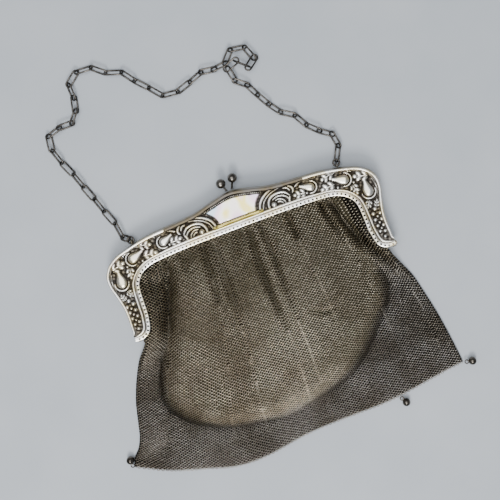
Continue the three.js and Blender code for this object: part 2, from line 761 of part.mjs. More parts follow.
function liningSolid() {
  const skin = meshWall + fitGap;
  const ring = (row, down, wall, inset, front) => bagRing(
    liningColumns,
    (column, i) => insetColumn(liningColumns, i, down, inset),
    (column) => (front === undefined ? frontHeight(column, row) - skin - wall : front - wall),
    (column) => backHeight(column, row.down) + skin + wall,
  );
  const foot = liningRows.at(-1);
  const outer = liningRows.map((row) => ring(row, row.inner, 0, 0));
  const inner = liningRows.map((row) => ring(row, row.inner, liningWall, liningSideWall));
  const bottom = ring(foot, foot.inner + footRun, 0, 0, marginThick + footThick);
  const floor = ring(foot, foot.inner + footRun / 2, liningWall, liningSideWall, marginThick + floorThick);
  return loft([floor, ...inner.reverse(), ...outer, bottom], zipFaces(liningColumns.length));
}

// Chain: the places where each long link starts, in order from the left end link: x, the distance
// past the top of the frame, the height that it is lifted off the surface there and, where it is
// not the usual one, the link's roll.
const chainRoute = [
  [-60.1, -3.5, 0], [-61.3, 7.4, 1.1], [-65.6, 15.8, 0], [-68.2, 23.9, 0], [-71.3, 31.9, 0],
  [-73.9, 39.6, 0], [-77.3, 46.5, 0], [-79.2, 52.9, 0], [-77.9, 59.1, 0], [-70.7, 61, 0.2],
  [-64.1, 60.8, 0], [-59.8, 66.3, 0.3], [-58.5, 72.6, 0], [-59.0, 80.2, 0], [-52.9, 85, 0],
  [-44.8, 84.6, 0], [-38.7, 79.1, 0], [-30.7, 76.8, 0], [-26.2, 70.2, 0], [-20.4, 64, 0],
  [-15.1, 57.3, 0], [-7.1, 56.9, 0], [0.4, 59.5, 0], [7.8, 62.4, 0], [14.4, 61.3, 0],
  [20.6, 62, 0], [25.6, 68.1, 0.1], [33.1, 66.9, 0], [36.1, 59.2, 0.2, 0], [31.7, 55.7, 1.7, 90],
  [26.1, 61.3, 4.5, 0], [21.6, 59.6, 3.5], [22.5, 51.5, 1.0], [27.5, 47.9, 0], [30.8, 41, 0],
  [34.5, 34.4, 0], [38.6, 28.6, 0], [45.1, 24.7, 0], [48.9, 17.5, 0], [54.2, 12.4, 0],
  [59.9, 8.7, 0.2], [60.9, 2.3, 0.2],
];

const linkRadius = (linkWidth - linkWire) / 2;
const lift = linkRadius * Math.sin(THREE.MathUtils.degToRad(linkRoll)) + linkWire / 2 + surfaceClearance;
const turnBack = THREE.MathUtils.degToRad(110);

// One piece of the chain: its wire, how far apart its end bars lie and its step along the chain.
function chainPiece(name, width, wire, reach, roll) {
  return { name, width, wire, reach, roll, step: reach - linkWire - linkSlack };
}

function chainPieces() {
  const ringReach = ringWidth - ringWire;
  const long = linkPitch + linkWire + linkSlack;
  const links = chainRoute.map(([, , , roll], i) => {
    const name = `chain_link_${String(i + 1).padStart(2, '0')}`;
    const turned = (i + (i < crossing ? 0 : 1)) % 2 === 0 ? -linkRoll : linkRoll;
    return chainPiece(name, linkWidth, linkWire, long, roll ?? turned);
  });
  return [
    chainPiece('jump_ring_left', ringWidth, ringWire, ringReach, 0),
    chainPiece('end_link_left', linkWidth, linkWire, endLinkPitch + linkWire + linkSlack, linkRoll),
    ...links,
    chainPiece('jump_ring_right', ringWidth, ringWire, ringReach, 0),
  ];
}

// Pulls neighbouring places together or apart until every piece fits, keeping both ends.
function settle(route, pieces) {
  const places = route.map((p) => p.clone());
  const fit = (from, to, { step }) => {
    const way = to.clone().sub(from);
    const least = step < linkPitch ? step : leastStep * step;
    to.copy(from).add(way.setLength(THREE.MathUtils.clamp(way.length(), least, step)));
  };
  for (let pass = 0; pass < 60; pass += 1) {
    for (let i = 1; i < places.length; i += 1) fit(places[i - 1], places[i], pieces[i - 1]);
    places.at(-1).copy(route.at(-1));
    for (let i = places.length - 2; i >= 0; i -= 1) fit(places[i + 1], places[i], pieces[i]);
    places[0].copy(route[0]);
  }
  return places;
}

// The way in which two pieces overlap at a place: the mean of their directions, or the second
// one's own where the chain turns back on itself.
function overlapWays(places) {
  const along = places.slice(1).map((place, i) => place.clone().sub(places[i]).normalize());
  return places.map((_, i) => {
    const before = along[Math.max(i - 1, 0)];
    const after = along[Math.min(i, along.length - 1)];
    if (before.angleTo(after) > turnBack) return after.clone();
    return before.clone().add(after).normalize();
  });
}

// Lays a piece made along X between its two end bars.
function layBetween(solid, start, end) {
  const along = end.clone().sub(start).normalize();
  const side = new THREE.Vector3(0, 0, 1).cross(along).normalize();
  const up = along.clone().cross(side);
  const centre = start.clone().add(end).multiplyScalar(0.5);
  return solid.transform(new THREE.Matrix4().makeBasis(along, side, up).setPosition(centre).elements);
}

function addChain() {
  const pieces = chainPieces();
  const half = (linkWire + linkSlack) / 2;
  const middle = chainRoute.map(([x, y, raised]) => new THREE.Vector3(x, frameHeight + y, lift + raised));
  const endPlaces = (side, towards) => {
    const bar = eyeCentre(side);
    bar.y += (eyeWidth - eyeWire) / 2;
    const way = towards.clone().sub(bar).normalize();
    const first = bar.clone().addScaledVector(way, -half);
    return [first, first.clone().addScaledVector(way, pieces[0].step)];
  };
  const left = endPlaces(-1, middle[0]);
  const right = endPlaces(1, middle.at(-1)).reverse();
  const places = settle([...left, ...middle, ...right], pieces);
  const ways = overlapWays(places);
  pieces.forEach(({ name, width, wire, reach, roll }, i) => {
    const start = places[i].clone().addScaledVector(ways[i], -half);
    const end = places[i + 1].clone().addScaledVector(ways[i + 1], half);
    const solid = linkSolid(width, wire, reach - (width - wire), roll);
    addPiece(name, layBetween(solid, start, end), dark, 0.45, 0.9);
  });
}

// Drop balls: each hangs from the hem by a loop soldered to it. turn is the way from the hem to
// the loop and ballTurn the way on to the ball, in degrees.
const drops = [
  { name: 'drop_ball_left', column: 0, turn: 225, ballTurn: 95 },
  { name: 'drop_ball_bottom', column: 13, turn: -65, ballTurn: -60 },
  { name: 'drop_ball_right', column: 18, turn: -15, ballTurn: -10 },
];

function dropSolid({ column, turn, ballTurn }) {
  const way = (degrees) => {
    const angle = THREE.MathUtils.degToRad(degrees);
    return new THREE.Vector3(Math.cos(angle), Math.sin(angle), 0);
  };
  const hem = columnPoint(bagColumns[column], 2);
  const loop = new THREE.Vector3(hem.x, hem.y, dropRadius)
    .addScaledVector(way(turn), fitGap + dropLoopWidth / 2);
  const ball = loop.clone().addScaledVector(way(ballTurn), dropRadius + dropLoopWidth / 2 - dropWire / 2);
  return linkSolid(dropLoopWidth, dropWire, 0).translate(loop.toArray())
    .add(ballSolid(dropRadius).translate(ball.toArray()));
}

addPiece('frame_front', frontHalfSolid(), silver, 0.35, 1);
addPiece('frame_back', backHalfSolid(), silver, 0.4, 1);
addPiece('hinge_pin_left', hingePin().mirror([1, 0, 0]), silver, 0.4, 1);
addPiece('hinge_pin_right', hingePin(), silver, 0.4, 1);
for (const knob of knobs) addPiece(knob.name, knobSolid(knob), dark, 0.35, 1);
addPiece('mesh_bag', bagSolid(), bronze, 0.5, 0.9);
addPiece('lining', liningSolid(), olive, 0.95, 0);
addChain();
for (const drop of drops) addPiece(drop.name, dropSolid(drop), dark, 0.3, 1);

export default purse;
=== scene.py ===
import math
import bpy
import numpy as np
from mathutils import Matrix, Vector


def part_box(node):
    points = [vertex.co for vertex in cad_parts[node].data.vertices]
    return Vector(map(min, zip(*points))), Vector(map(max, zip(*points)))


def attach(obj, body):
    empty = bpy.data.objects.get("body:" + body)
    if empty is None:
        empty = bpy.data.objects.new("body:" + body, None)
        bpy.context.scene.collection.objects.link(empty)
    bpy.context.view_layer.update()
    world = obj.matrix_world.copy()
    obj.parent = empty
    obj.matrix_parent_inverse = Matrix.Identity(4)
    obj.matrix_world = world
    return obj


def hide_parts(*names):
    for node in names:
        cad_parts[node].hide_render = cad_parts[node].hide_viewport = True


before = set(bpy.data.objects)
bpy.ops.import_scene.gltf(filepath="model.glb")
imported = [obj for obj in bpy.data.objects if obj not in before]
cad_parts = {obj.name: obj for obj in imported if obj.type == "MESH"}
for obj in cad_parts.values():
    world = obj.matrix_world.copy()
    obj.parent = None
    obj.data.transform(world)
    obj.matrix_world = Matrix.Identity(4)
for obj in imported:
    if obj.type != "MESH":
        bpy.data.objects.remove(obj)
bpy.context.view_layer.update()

# A ring-mesh purse lying on its back. All sizes below are millimetres in the drawing's own axes:
# x along the clasp frame, y from the hem towards the chain, z up; originY is where the part's
# origin lies on that drawing.
mm = 0.001
originY = 45.0
rng = np.random.default_rng(11)
allNodes = sorted(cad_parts)


# Small helpers

def deselectAll():
    for ob in list(bpy.context.selected_objects):
        ob.select_set(False)


def named(name):
    ob = bpy.context.active_object
    ob.name = name
    ob.data.name = name
    return ob


def onlyThis(ob):
    deselectAll()
    ob.select_set(True)
    bpy.context.view_layer.objects.active = ob


def place(ob):
    # put the object's place into its mesh
    onlyThis(ob)
    bpy.ops.object.transform_apply(location=True, rotation=True, scale=True)


def joined(name, parts):
    deselectAll()
    for ob in parts:
        ob.select_set(True)
    bpy.context.view_layer.objects.active = parts[0]
    if len(parts) > 1:
        bpy.ops.object.join()
    return named(name)


def applied(ob):
    onlyThis(ob)
    for mod in list(ob.modifiers):
        bpy.ops.object.modifier_apply(modifier=mod.name)
    return ob


def smooth(ob, degrees=40):
    onlyThis(ob)
    bpy.ops.object.shade_smooth_by_angle(angle=math.radians(degrees))


def toRow(points):
    # drawing millimetres to the part's metres
    moved = np.asarray(points, float).copy()
    moved[..., 1] -= originY
    return moved * mm


def spot(x, y, z):
    return Vector((x, y - originY, z)) * mm


def bevelled(ob, width):
    edge = ob.modifiers.new("edge", "BEVEL")
    edge.width, edge.segments = width * mm, 2
    return applied(ob)


def thickened(ob, wall, offset):
    made = ob.modifiers.new("thickness", "SOLIDIFY")
    made.thickness, made.offset = wall * mm, offset
    return applied(ob)


def outward(ob):
    # turns every face of a closed shape outwards
    onlyThis(ob)
    bpy.ops.object.mode_set(mode="EDIT")
    bpy.ops.mesh.select_all(action="SELECT")
    bpy.ops.mesh.normals_make_consistent(inside=False)
    bpy.ops.object.mode_set(mode="OBJECT")
    return ob


def wireRing(across, wire, around, sides, **where):
    # a ring of round wire; across is measured between the middles of the wire
    deselectAll()
    bpy.ops.mesh.primitive_torus_add(
        major_radius=across / 2 * mm, minor_radius=wire / 2 * mm,
        major_segments=around, minor_segments=sides, **where)
    ob = bpy.context.active_object
    place(ob)
    return ob


def meshFrom(name, points, quads, ends=()):
    data = bpy.data.meshes.new(name)
    faces = [tuple(q) for q in quads] + [tuple(e) for e in ends]
    data.from_pydata([tuple(p) for p in toRow(points)], [], faces)
    ob = bpy.data.objects.new(name, data)
    bpy.context.scene.collection.objects.link(ob)
    return ob


def gridQuads(rows, cols, around=False):
    # quads of a grid of points; around closes each row on itself
    last = cols if around else cols - 1
    r, c = np.meshgrid(np.arange(rows - 1), np.arange(last), indexing="ij")
    d = (c + 1) % cols
    quads = np.stack([r * cols + c, r * cols + d, (r + 1) * cols + d, (r + 1) * cols + c], -1)
    return quads.reshape(-1, 4)


def attribute(ob, name, values):
    layer = ob.data.attributes.new(name, "FLOAT", "POINT")
    layer.data.foreach_set("value", np.asarray(values, np.float32).ravel())


def step(low, high, x):
    t = np.clip((x - low) / (high - low), 0, 1)
    return t * t * (3 - 2 * t)


def through(knots, values, at):
    # a smooth curve through the values at the knots
    knots, values = np.asarray(knots, float), np.asarray(values, float)
    h = np.diff(knots)
    slope = np.diff(values) / h
    middle = (h[1:] * slope[:-1] + h[:-1] * slope[1:]) / (h[:-1] + h[1:])
    m = np.concatenate([[slope[0]], middle, [slope[-1]]])
    at = np.clip(at, knots[0], knots[-1])
    i = np.clip(np.searchsorted(knots, at, side="right") - 1, 0, len(h) - 1)
    t = (at - knots[i]) / h[i]
    return ((2 * t**3 - 3 * t**2 + 1) * values[i] + (t**3 - 2 * t**2 + t) * h[i] * m[i]
            + (3 * t**2 - 2 * t**3) * values[i + 1] + (t**3 - t**2) * h[i] * m[i + 1])


def lengthAlong(line):
    # how far along the line each of its points lies
    return np.concatenate([[0], np.cumsum(np.hypot(*np.diff(line, axis=0).T))])


def smoothLine(points, count):
    points = np.asarray(points, float)
    reach = lengthAlong(points)
    at = np.linspace(0, reach[-1], count)
    return np.stack([through(reach, points[:, k], at) for k in (0, 1)], -1)


def toLine(x, y, line):
    # distance to a line, the share of the way along it and on which side (left is positive)
    best = np.full(x.shape, np.inf)
    share = np.zeros(x.shape)
    side = np.ones(x.shape)
    steps = len(line) - 1
    for i in range(steps):
        a, b = line[i], line[i + 1]
        d = b - a
        t = np.clip(((x - a[0]) * d[0] + (y - a[1]) * d[1]) / (d @ d), 0, 1)
        gap = np.hypot(x - a[0] - t * d[0], y - a[1] - t * d[1])
        near = gap < best
        best = np.where(near, gap, best)
        share = np.where(near, (i + t) / steps, share)
        side = np.where(near, np.sign(d[0] * (y - a[1]) - d[1] * (x - a[0])), side)
    return best, share, side


# Materials: each one starts from the real finish. The grain of each pattern is given per millimetre.

waveBand = 0.31  # metres between the bands of a wave texture of scale 1
blended = {"data_type": "RGBA"}
multiplied = {"data_type": "RGBA", "blend_type": "MULTIPLY"}


def linear(code):
    parts = [int(code[i:i + 2], 16) / 255 for i in (1, 3, 5)]
    return tuple(c / 12.92 if c <= 0.04045 else ((c + 0.055) / 1.055) ** 2.4 for c in parts) + (1.0,)


def feed(mat, made, sockets):
    # a socket takes the output of another node, a number or a hex colour
    for key, value in sockets.items():
        if isinstance(value, bpy.types.NodeSocket):
            mat.node_tree.links.new(value, made.inputs[key])
        else:
            made.inputs[key].default_value = linear(value) if isinstance(value, str) else value


def node(mat, kind, sockets, stops=(), **settings):
    # adds one node; stops are the places and colours of a ramp
    made = mat.node_tree.nodes.new(kind)
    for key, value in settings.items():
        setattr(made, key, value)
    feed(mat, made, sockets)
    if stops:
        band = made.color_ramp
        while len(band.elements) < len(stops):
            band.elements.new(0.5)
        for element, (at, code) in zip(band.elements, stops):
            element.position = at
            element.color = linear(code)
    return made


def newMaterial(name):
    # an empty material, its shader and the object coordinates
    mat = bpy.data.materials.new(name)
    mat.use_nodes = True
    mat.node_tree.nodes.clear()
    shader = node(mat, "ShaderNodeBsdfPrincipled", {})
    node(mat, "ShaderNodeOutputMaterial", {0: shader.outputs[0]})
    where = node(mat, "ShaderNodeTexCoord", {}).outputs["Object"]
    return mat, shader, where


def painted(mat, *names):
    # reads the attributes that the pieces carry for this material
    return [node(mat, "ShaderNodeAttribute", {}, attribute_name=name).outputs["Fac"] for name in names]


def platedSilver():
    # pressed sheet, silver plated: bright where fingers rub it, black sulphide in every recess; the relief
    # tone also paints shade down every slope and light on every top
    mat, shader, where = newMaterial("worn_and_shaded_silver_plate")
    relief, plaque, gilt = painted(mat, "relief", "plaque", "gilt")
    tone = node(mat, "ShaderNodeValToRGB", {0: relief}, [
        (0.0, "#0d0b0a"), (0.16, "#37332f"), (0.36, "#7f7a73"),
        (0.62, "#bfbab1"), (0.84, "#f1eee7"), (1.0, "#fdfcf9")]).outputs[0]
    # yellow tarnish in patches 9 mm across, and its rainbow on the plaque, 14 mm across
    patches = node(mat, "ShaderNodeTexNoise", {"Vector": where, "Scale": 0.11 / mm, "Detail": 2.0})
    gold = node(mat, "ShaderNodeValToRGB", {0: patches.outputs["Fac"]}, [
        (0.42, "#ffffff"), (0.58, "#eedfae"), (0.7, "#f3e7e0")]).outputs[0]
    cloud = node(mat, "ShaderNodeTexNoise", {"Vector": where, "Scale": 0.07 / mm, "Detail": 1.0})
    sheen = node(mat, "ShaderNodeValToRGB", {0: cloud.outputs["Fac"]}, [
        (0.34, "#c9dcee"), (0.42, "#f2d3e6"), (0.5, "#fdf8ee"),
        (0.56, "#f8e98c"), (0.63, "#f3d9e6"), (0.7, "#d3e4ee")]).outputs[0]
    aged = node(mat, "ShaderNodeMix", {0: 0.7, 6: tone, 7: gold}, **multiplied).outputs[2]
    aged = node(mat, "ShaderNodeMix", {0: gilt, 6: aged, 7: "#b9ac68"}, **blended).outputs[2]
    # fine scratches, 0.6 mm apart
    grain = node(mat, "ShaderNodeTexNoise", {"Vector": where, "Scale": 1.6 / mm, "Detail": 4.0})
    dull = node(mat, "ShaderNodeMapRange", {"Value": relief, "To Min": 0.5, "To Max": 0.22})
    feed(mat, shader, {
        "Base Color": node(mat, "ShaderNodeMix", {0: plaque, 6: aged, 7: sheen}, **blended).outputs[2],
        "Metallic": 1.0,
        "Roughness": dull.outputs[0],
        "Normal": node(mat, "ShaderNodeBump", {
            "Height": grain.outputs["Fac"], "Strength": 0.12, "Distance": 0.05 * mm}).outputs[0],
    })
    return mat


def clouded(name, perMm, detail, stops, roughness):
    # a plain finish whose colour drifts between two tones
    mat, shader, where = newMaterial(name)
    cloud = node(mat, "ShaderNodeTexNoise", {"Vector": where, "Scale": perMm / mm, "Detail": detail})
    tone = node(mat, "ShaderNodeValToRGB", {0: cloud.outputs["Fac"]}, stops).outputs[0]
    feed(mat, shader, {"Base Color": tone, "Roughness": roughness})
    return mat, shader, where, tone


def paintedHoleShade():
    # the walls of the drilled holes, painted near black for the shade inside them; 1 mm grain
    return clouded("painted_hole_shade", 1.0, 2.0, [(0.3, "#080706"), (0.7, "#171411")], 0.8)[0]


def paleBoard():
    # a sheet of pale grey board under soft daylight, uneven over 50 mm
    return clouded("pale_board", 0.02, 4.0, [(0.3, "#c3cad2"), (0.7, "#ccd2d9")], 0.75)[0]


def darkWire(name, low, high, rough):
    # oxidised wire, polished only where it has been handled: clouds 3 mm wide, 0.4 mm grain
    mat, shader, where, _ = clouded(name, 0.35, 3.0, [(0.35, low), (0.65, high)], rough)
    fine = node(mat, "ShaderNodeTexNoise", {"Vector": where, "Scale": 2.5 / mm, "Detail": 3.0}).outputs["Fac"]
    feed(mat, shader, {
        "Metallic": 1.0,
        "Roughness": node(mat, "ShaderNodeMapRange", {
            "Value": fine, "To Min": rough - 0.08, "To Max": rough + 0.12}).outputs[0],
        "Normal": node(mat, "ShaderNodeBump", {
            "Height": fine, "Strength": 0.15, "Distance": 0.06 * mm}).outputs[0],
    })
    return mat


def ringMetal():
    # nickel-silver rings gone bronze grey; each ring's top is painted light and its lower side, under its
    # neighbours, is painted in shade, partly wear on the crests; warmer over the lining
    mat, shader, where = newMaterial("tarnished_and_shaded_ring_mesh")
    warm, shade, tint, crest = painted(mat, "warm", "shade", "tint", "crest")
    # painted light: over the lining the rings are painted lighter and warmer than in the margins
    tone = node(mat, "ShaderNodeMix", {0: warm, 6: "#e3dfda", 7: "#fff6e2"}, **blended).outputs[2]
    # older tarnish in patches 20 mm across
    patch = node(mat, "ShaderNodeTexNoise", {"Vector": where, "Scale": 0.05 / mm, "Detail": 3.0})
    # multiplied in: tarnish patches, the random tint with its painted pool of light, the painted light and
    # shade along each ring's crest, and the painted shade of the shade attribute
    layers = [
        (0.8, patch.outputs["Fac"], [(0.38, "#c0b9ae"), (0.6, "#ffffff")]),
        (1.0, tint, [(0.0, "#a9a297"), (1.0, "#ffffff")]),
        (1.0, crest, [(0.42, "#262019"), (0.74, "#b7af9f"), (0.9, "#ffffff")]),
        (1.0, shade, [(0.0, "#ffffff"), (1.0, "#5d574f")]),
    ]
    for share, source, stops in layers:
        layer = node(mat, "ShaderNodeValToRGB", {0: source}, stops).outputs[0]
        tone = node(mat, "ShaderNodeMix", {0: share, 6: tone, 7: layer}, **multiplied).outputs[2]
    dull = node(mat, "ShaderNodeMapRange", {"Value": crest, "To Min": 0.5, "To Max": 0.25}).outputs[0]
    feed(mat, shader, {"Base Color": tone, "Metallic": 1.0, "Roughness": dull})
    return mat


def crossBands(mat, where, across, along, distortion):
    # two sets of bands, so many millimetres apart in X and in Y
    return [node(mat, "ShaderNodeTexWave", {
        "Vector": where, "Scale": waveBand / pitch / mm, "Distortion": distortion},
        bands_direction=way).outputs["Color"] for way, pitch in (("X", across), ("Y", along))]


def liningCloth():
    # plain cotton sateen, aged olive; its threads are 0.4 mm apart, drawn at 0.6 mm to show
    olive = [(0.35, "#4d4836"), (0.65, "#645d47")]
    mat, shader, where, tone = clouded("aged_cotton_lining", 0.06, 3.0, olive, 0.95)
    warp, weft = crossBands(mat, where, 0.6, 0.6, 0.6)
    weave = node(mat, "ShaderNodeMix", {0: 0.5, 6: warp, 7: weft}, **blended).outputs[2]
    feed(mat, shader, {
        "Base Color": node(mat, "ShaderNodeMix", {0: 0.25, 6: tone, 7: weave}, **multiplied).outputs[2],
        "Normal": node(mat, "ShaderNodeBump", {
            "Height": weave, "Strength": 0.4, "Distance": 0.1 * mm}).outputs[0],
    })
    return mat


def backMesh():
    # the far layer of the ring mesh: ring pitch 1.1 by 1.5 mm as relief on one sheet, painted near black for
    # the shade under the front layer
    mat, shader, where = newMaterial("shaded_ring_mesh_back_layer")
    across, along = crossBands(mat, where, 1.1, 1.5, 0.4)
    rings = node(mat, "ShaderNodeMix", {0: 1.0, 6: across, 7: along}, **multiplied).outputs[2]
    feed(mat, shader, {
        "Base Color": node(mat, "ShaderNodeValToRGB", {0: rings}, [
            (0.0, "#0c0b0a"), (0.5, "#2c2926"), (1.0, "#57524c")]).outputs[0],
        "Metallic": 0.7,
        "Roughness": 0.5,
        "Normal": node(mat, "ShaderNodeBump", {
            "Height": rings, "Strength": 0.7, "Distance": 0.4 * mm}).outputs[0],
    })
    return mat


# Clasp frame: two pressed halves of one section, the front one embossed and both pierced

clasp = {
    "halfWidth": 73.7, "height": 55.6, "width": 12.4, "halfDepth": 5.2, "parting": 0.3, "sheet": 0.7,
    "fieldDrop": 0.75, "draft": 0.9, "hollowFrom": 1.7, "fullProfile": 5.6, "stripWidth": 1.9,
    "stripDrop": 0.5, "holePitch": 2.12, "holeWidth": 1.15, "holeSides": 12, "drillLength": 3,
    "softEdge": 0.12, "alongFine": 1100, "acrossFine": 58, "alongPlain": 420, "acrossPlain": 16,
    "alongStrip": 330, "alongOutline": 900,
}
# points of a plate's outer wall: way in and height
wallPoints = [(0.7, 0.0), (0.0, 0.0), (0.22, 2.6), (0.5, 3.9)]
# section of the pierced strip: way past the plate and height
stripSection = [(-0.05, -clasp["sheet"]), (-0.05, -0.03), (0.35, 0.1), (0.95, 0.14), (1.55, 0.1),
                (clasp["stripWidth"], -0.08), (clasp["stripWidth"], -clasp["sheet"])]

# a row for each station from the left foot to the middle of the hump: shares of halfWidth and
# height, the way in across the plate in degrees and the plate's share of width
claspStations = [
    (0.954, 0.076, -80.0, 0.14), (0.954, 0.108, -48.5, 0.38), (0.955, 0.153, -40.6, 0.63),
    (0.955, 0.252, -21.9, 0.76), (0.961, 0.342, -5.9, 0.78), (0.981, 0.459, -2.5, 0.93),
    (1.000, 0.567, -11.0, 1.14), (0.998, 0.648, -15.8, 1.31), (0.966, 0.728, -22.8, 1.37),
    (0.902, 0.793, -30.0, 1.35), (0.807, 0.836, -40.1, 1.21), (0.678, 0.874, -54.5, 1.11),
    (0.407, 0.906, -85.4, 1.00), (0.271, 0.923, -90.0, 1.06), (0.136, 0.968, -90.0, 1.26),
    (0.000, 1.000, -90.0, 1.40),
]


def claspLines():
    outer, inner = [], []
    for outX, outY, turn, width in claspStations:
        a = math.radians(turn)
        x, y = -outX * clasp["halfWidth"], outY * clasp["height"]
        w = width * clasp["width"]
        outer.append((x, y))
        inner.append((x + w * math.cos(a), y + w * math.sin(a)))
    mirror = [(-x, y) for x, y in outer[-2::-1]], [(-x, y) for x, y in inner[-2::-1]]
    return np.array(outer + mirror[0]), np.array(inner + mirror[1])


outerLine, innerLine = claspLines()


def claspAt(count):
    # outline, inner line and the way past the inner line at evenly spaced places along the frame
    knots = lengthAlong((outerLine + innerLine) / 2)
    at = np.linspace(0, knots[-1], count)
    outer = np.stack([through(knots, outerLine[:, k], at) for k in (0, 1)], -1)
    inner = np.stack([through(knots, innerLine[:, k], at) for k in (0, 1)], -1)
    along = np.gradient(inner, axis=0)
    along /= np.linalg.norm(along, axis=1)[:, None]
    return outer, inner, np.stack([along[:, 1], -along[:, 0]], -1), at


def topAt(x):
    # y of the frame's upper edge
    outline = claspAt(clasp["alongOutline"])[0]
    upper = outline[outline[:, 1] > clasp["height"] / 2]
    return np.interp(x, upper[:, 0], upper[:, 1])


# Embossed work on the left half of the front plate, mirrored on the right. Places are read off
# the drawing in millimetres.
fruit = [
    {"bulb": (-66.4, 30.8), "neck": (-66.0, 37.0), "radius": 2.75},
    {"bulb": (-57.0, 40.6), "neck": (-51.2, 42.6), "radius": 2.6},
    {"bulb": (-39.7, 43.1), "neck": (-34.6, 45.0), "radius": 2.25},
]
foliage = [
    {"at": (-65.0, 39.6), "length": 7.8, "width": 4.8, "turn": 15},
    {"at": (-48.7, 45.0), "length": 6.8, "width": 4.6, "turn": -12},
    {"at": (-47.5, 39.8), "length": 7.6, "width": 4.2, "turn": -4},
    {"at": (-60.5, 33.9), "length": 5.8, "width": 4.2, "turn": -100},
    {"at": (-33.1, 41.7), "length": 6.6, "width": 4.6, "turn": 6},
    {"at": (-64.0, 24.4), "length": 4.4, "width": 3.6, "turn": -60},
    {"at": (-68.3, 24.0), "length": 4.0, "width": 3.0, "turn": 110},
]
scrollBands = [
    {"points": [(-26.5, 49.4), (-21, 49.1), (-16.2, 47.2), (-12.8, 43.8), (-11.7, 40.6)],
     "half": 0.8, "rise": 1.0},
    {"points": [(-35, 48.6), (-29, 48.9), (-24, 48.3), (-18.4, 46.7), (-14.7, 43.6), (-13.5, 40.6)],
     "half": 0.5, "rise": 0.7},
    {"points": [(-28.5, 43.0), (-26.5, 45.2), (-22.6, 46.1), (-19.0, 45.1), (-16.9, 42.3), (-16.8, 40.1),
                (-18.2, 38.9)], "half": 0.78, "rise": 1.1},
    {"points": [(-27.9, 41.0), (-25.9, 43.5), (-22.4, 44.5), (-19.4, 43.6)], "half": 0.55, "rise": 0.95},
    {"points": [(-25.6, 40.0), (-24.6, 42.0), (-22.2, 43.1), (-20.6, 42.8)], "half": 0.5, "rise": 0.9},
    {"points": [(-24.2, 40.5), (-22.9, 41.7), (-21.5, 41.8)], "half": 0.5, "rise": 0.85},
    {"points": [(-36.2, 47.8), (-34.2, 47.1), (-32.2, 46.0)], "half": 0.8, "rise": 1.0},
    {"points": [(-29.0, 47.8), (-30.6, 46.6), (-30.9, 44.8), (-30.2, 43.8)], "half": 0.85, "rise": 1.05},
    {"points": [(-26.2, 47.5), (-28.2, 47.0), (-29.2, 45.3)], "half": 0.7, "rise": 1.0},
    {"points": [(-28.3, 42.4), (-27.6, 40.8), (-27.3, 39.3)], "half": 0.85, "rise": 1.0},
    {"points": [(-61.4, 43.4), (-57.0, 45.3), (-53.2, 45.7), (-51.6, 44.9)], "half": 0.5, "rise": 0.75},
    {"points": [(-70.3, 27.5), (-70.9, 32.5), (-69.9, 37.0)], "half": 0.42, "rise": 0.55},
]
berries = [
    (-66.3, 21.4, 1.2), (-68.1, 18.7, 1.15), (-64.6, 19.3, 1.2), (-67.8, 15.6, 1.15), (-64.6, 16.1, 1.1),
    (-67.6, 12.4, 1.05), (-64.7, 12.9, 1.0), (-67.3, 9.3, 1.0), (-64.9, 9.9, 0.9), (-66.4, 6.7, 0.95),
    (-66.3, 17.4, 0.8), (-66.2, 14.2, 0.75), (-66.1, 11.2, 0.7), (-19.5, 41.1, 1.5), (-60.9, 37.7, 0.8),
    (-37.0, 40.9, 0.8), (-43.4, 47.3, 0.8), (-52.6, 38.0, 0.8),
]
plaqueEdge = {"low": 41.75, "half": 9.9, "flare": 6.2, "flareOver": 8.5, "rise": 0.5}
ropeBand = {"middle": 40.35, "half": 1.0, "reach": 13.4, "rise": 0.42, "twist": 0.06, "pitch": 1.1,
            "slantX": 0.8, "slantY": 1.6}
milling = {"place": 3.05, "half": 0.62, "reach": 17.5, "within": 15, "pitch": 0.95, "rise": 0.34, "cut": 0.22}
ground = {"rise": 0.14, "uneven": 0.07, "grit": 0.03, "back": 0.55}
scroll = {"rise": 0.82, "ends": 0.55}
berry = {"rise": 0.5, "perRadius": 0.28}
reliefRise = 1.35
pear = {"bend": 0.25, "taper": 0.6, "tip": 0.3, "cupGap": 0.85, "cupHalf": 0.62, "cupRise": 0.66,
        "cupStart": 1.3, "cupEnd": 1.45, "cupPoints": 12}
lobe = {"pairs": 2, "tipAt": 0.82, "tipLong": 0.22, "tipWide": 0.17, "tipRise": 0.84, "first": 0.22,
        "spread": 0.36, "out": 0.3, "closer": 0.06, "long": 0.27, "wide": 0.165, "rise": 0.8,
        "turn": 38, "rib": 0.7, "ribHalf": 0.5, "ribRise": 0.7}
# mouldings along the plate, in from its outer edge or its inner line; onHump is the share of their
# height that is left over the hump
mouldings = [
    {"edge": "outer", "place": 1.4, "half": 0.95, "rise": 0.8, "onHump": 0.5},
    {"edge": "outer", "place": 2.62, "half": 0.2, "rise": 0.22, "onHump": 1},
    {"edge": "inner", "place": 1.2, "half": 0.75, "rise": 0.74, "onHump": 1},
    {"edge": "inner", "place": 0.16, "half": 0.3, "rise": 0.42, "onHump": 1},
]
# fades of the embossed work: where each starts and where it is full
fades = {
    "hump": (36.6, 37.6), "fieldOuter": (2.1, 2.6), "fieldInner": (1.75, 2.2), "belowMilling": (3.5, 3.9),
    "plaqueTop": (3.6, 4.0), "plaqueSide": (-0.35, 0.35), "plaqueLow": (-0.15, 0.2), "band": (-0.2, 0.2),
    "bandEnd": (-0.5, 0.5), "milling": (0.12, 0.25), "millingEnd": (0, 2.5), "backOuter": (0.0, 1.6),
    "backInner": (-0.2, 0.6), "bright": (0.35, 0.7), "dullAlong": (36.4, 37.6), "dullAcross": (3.2, 3.9),
}
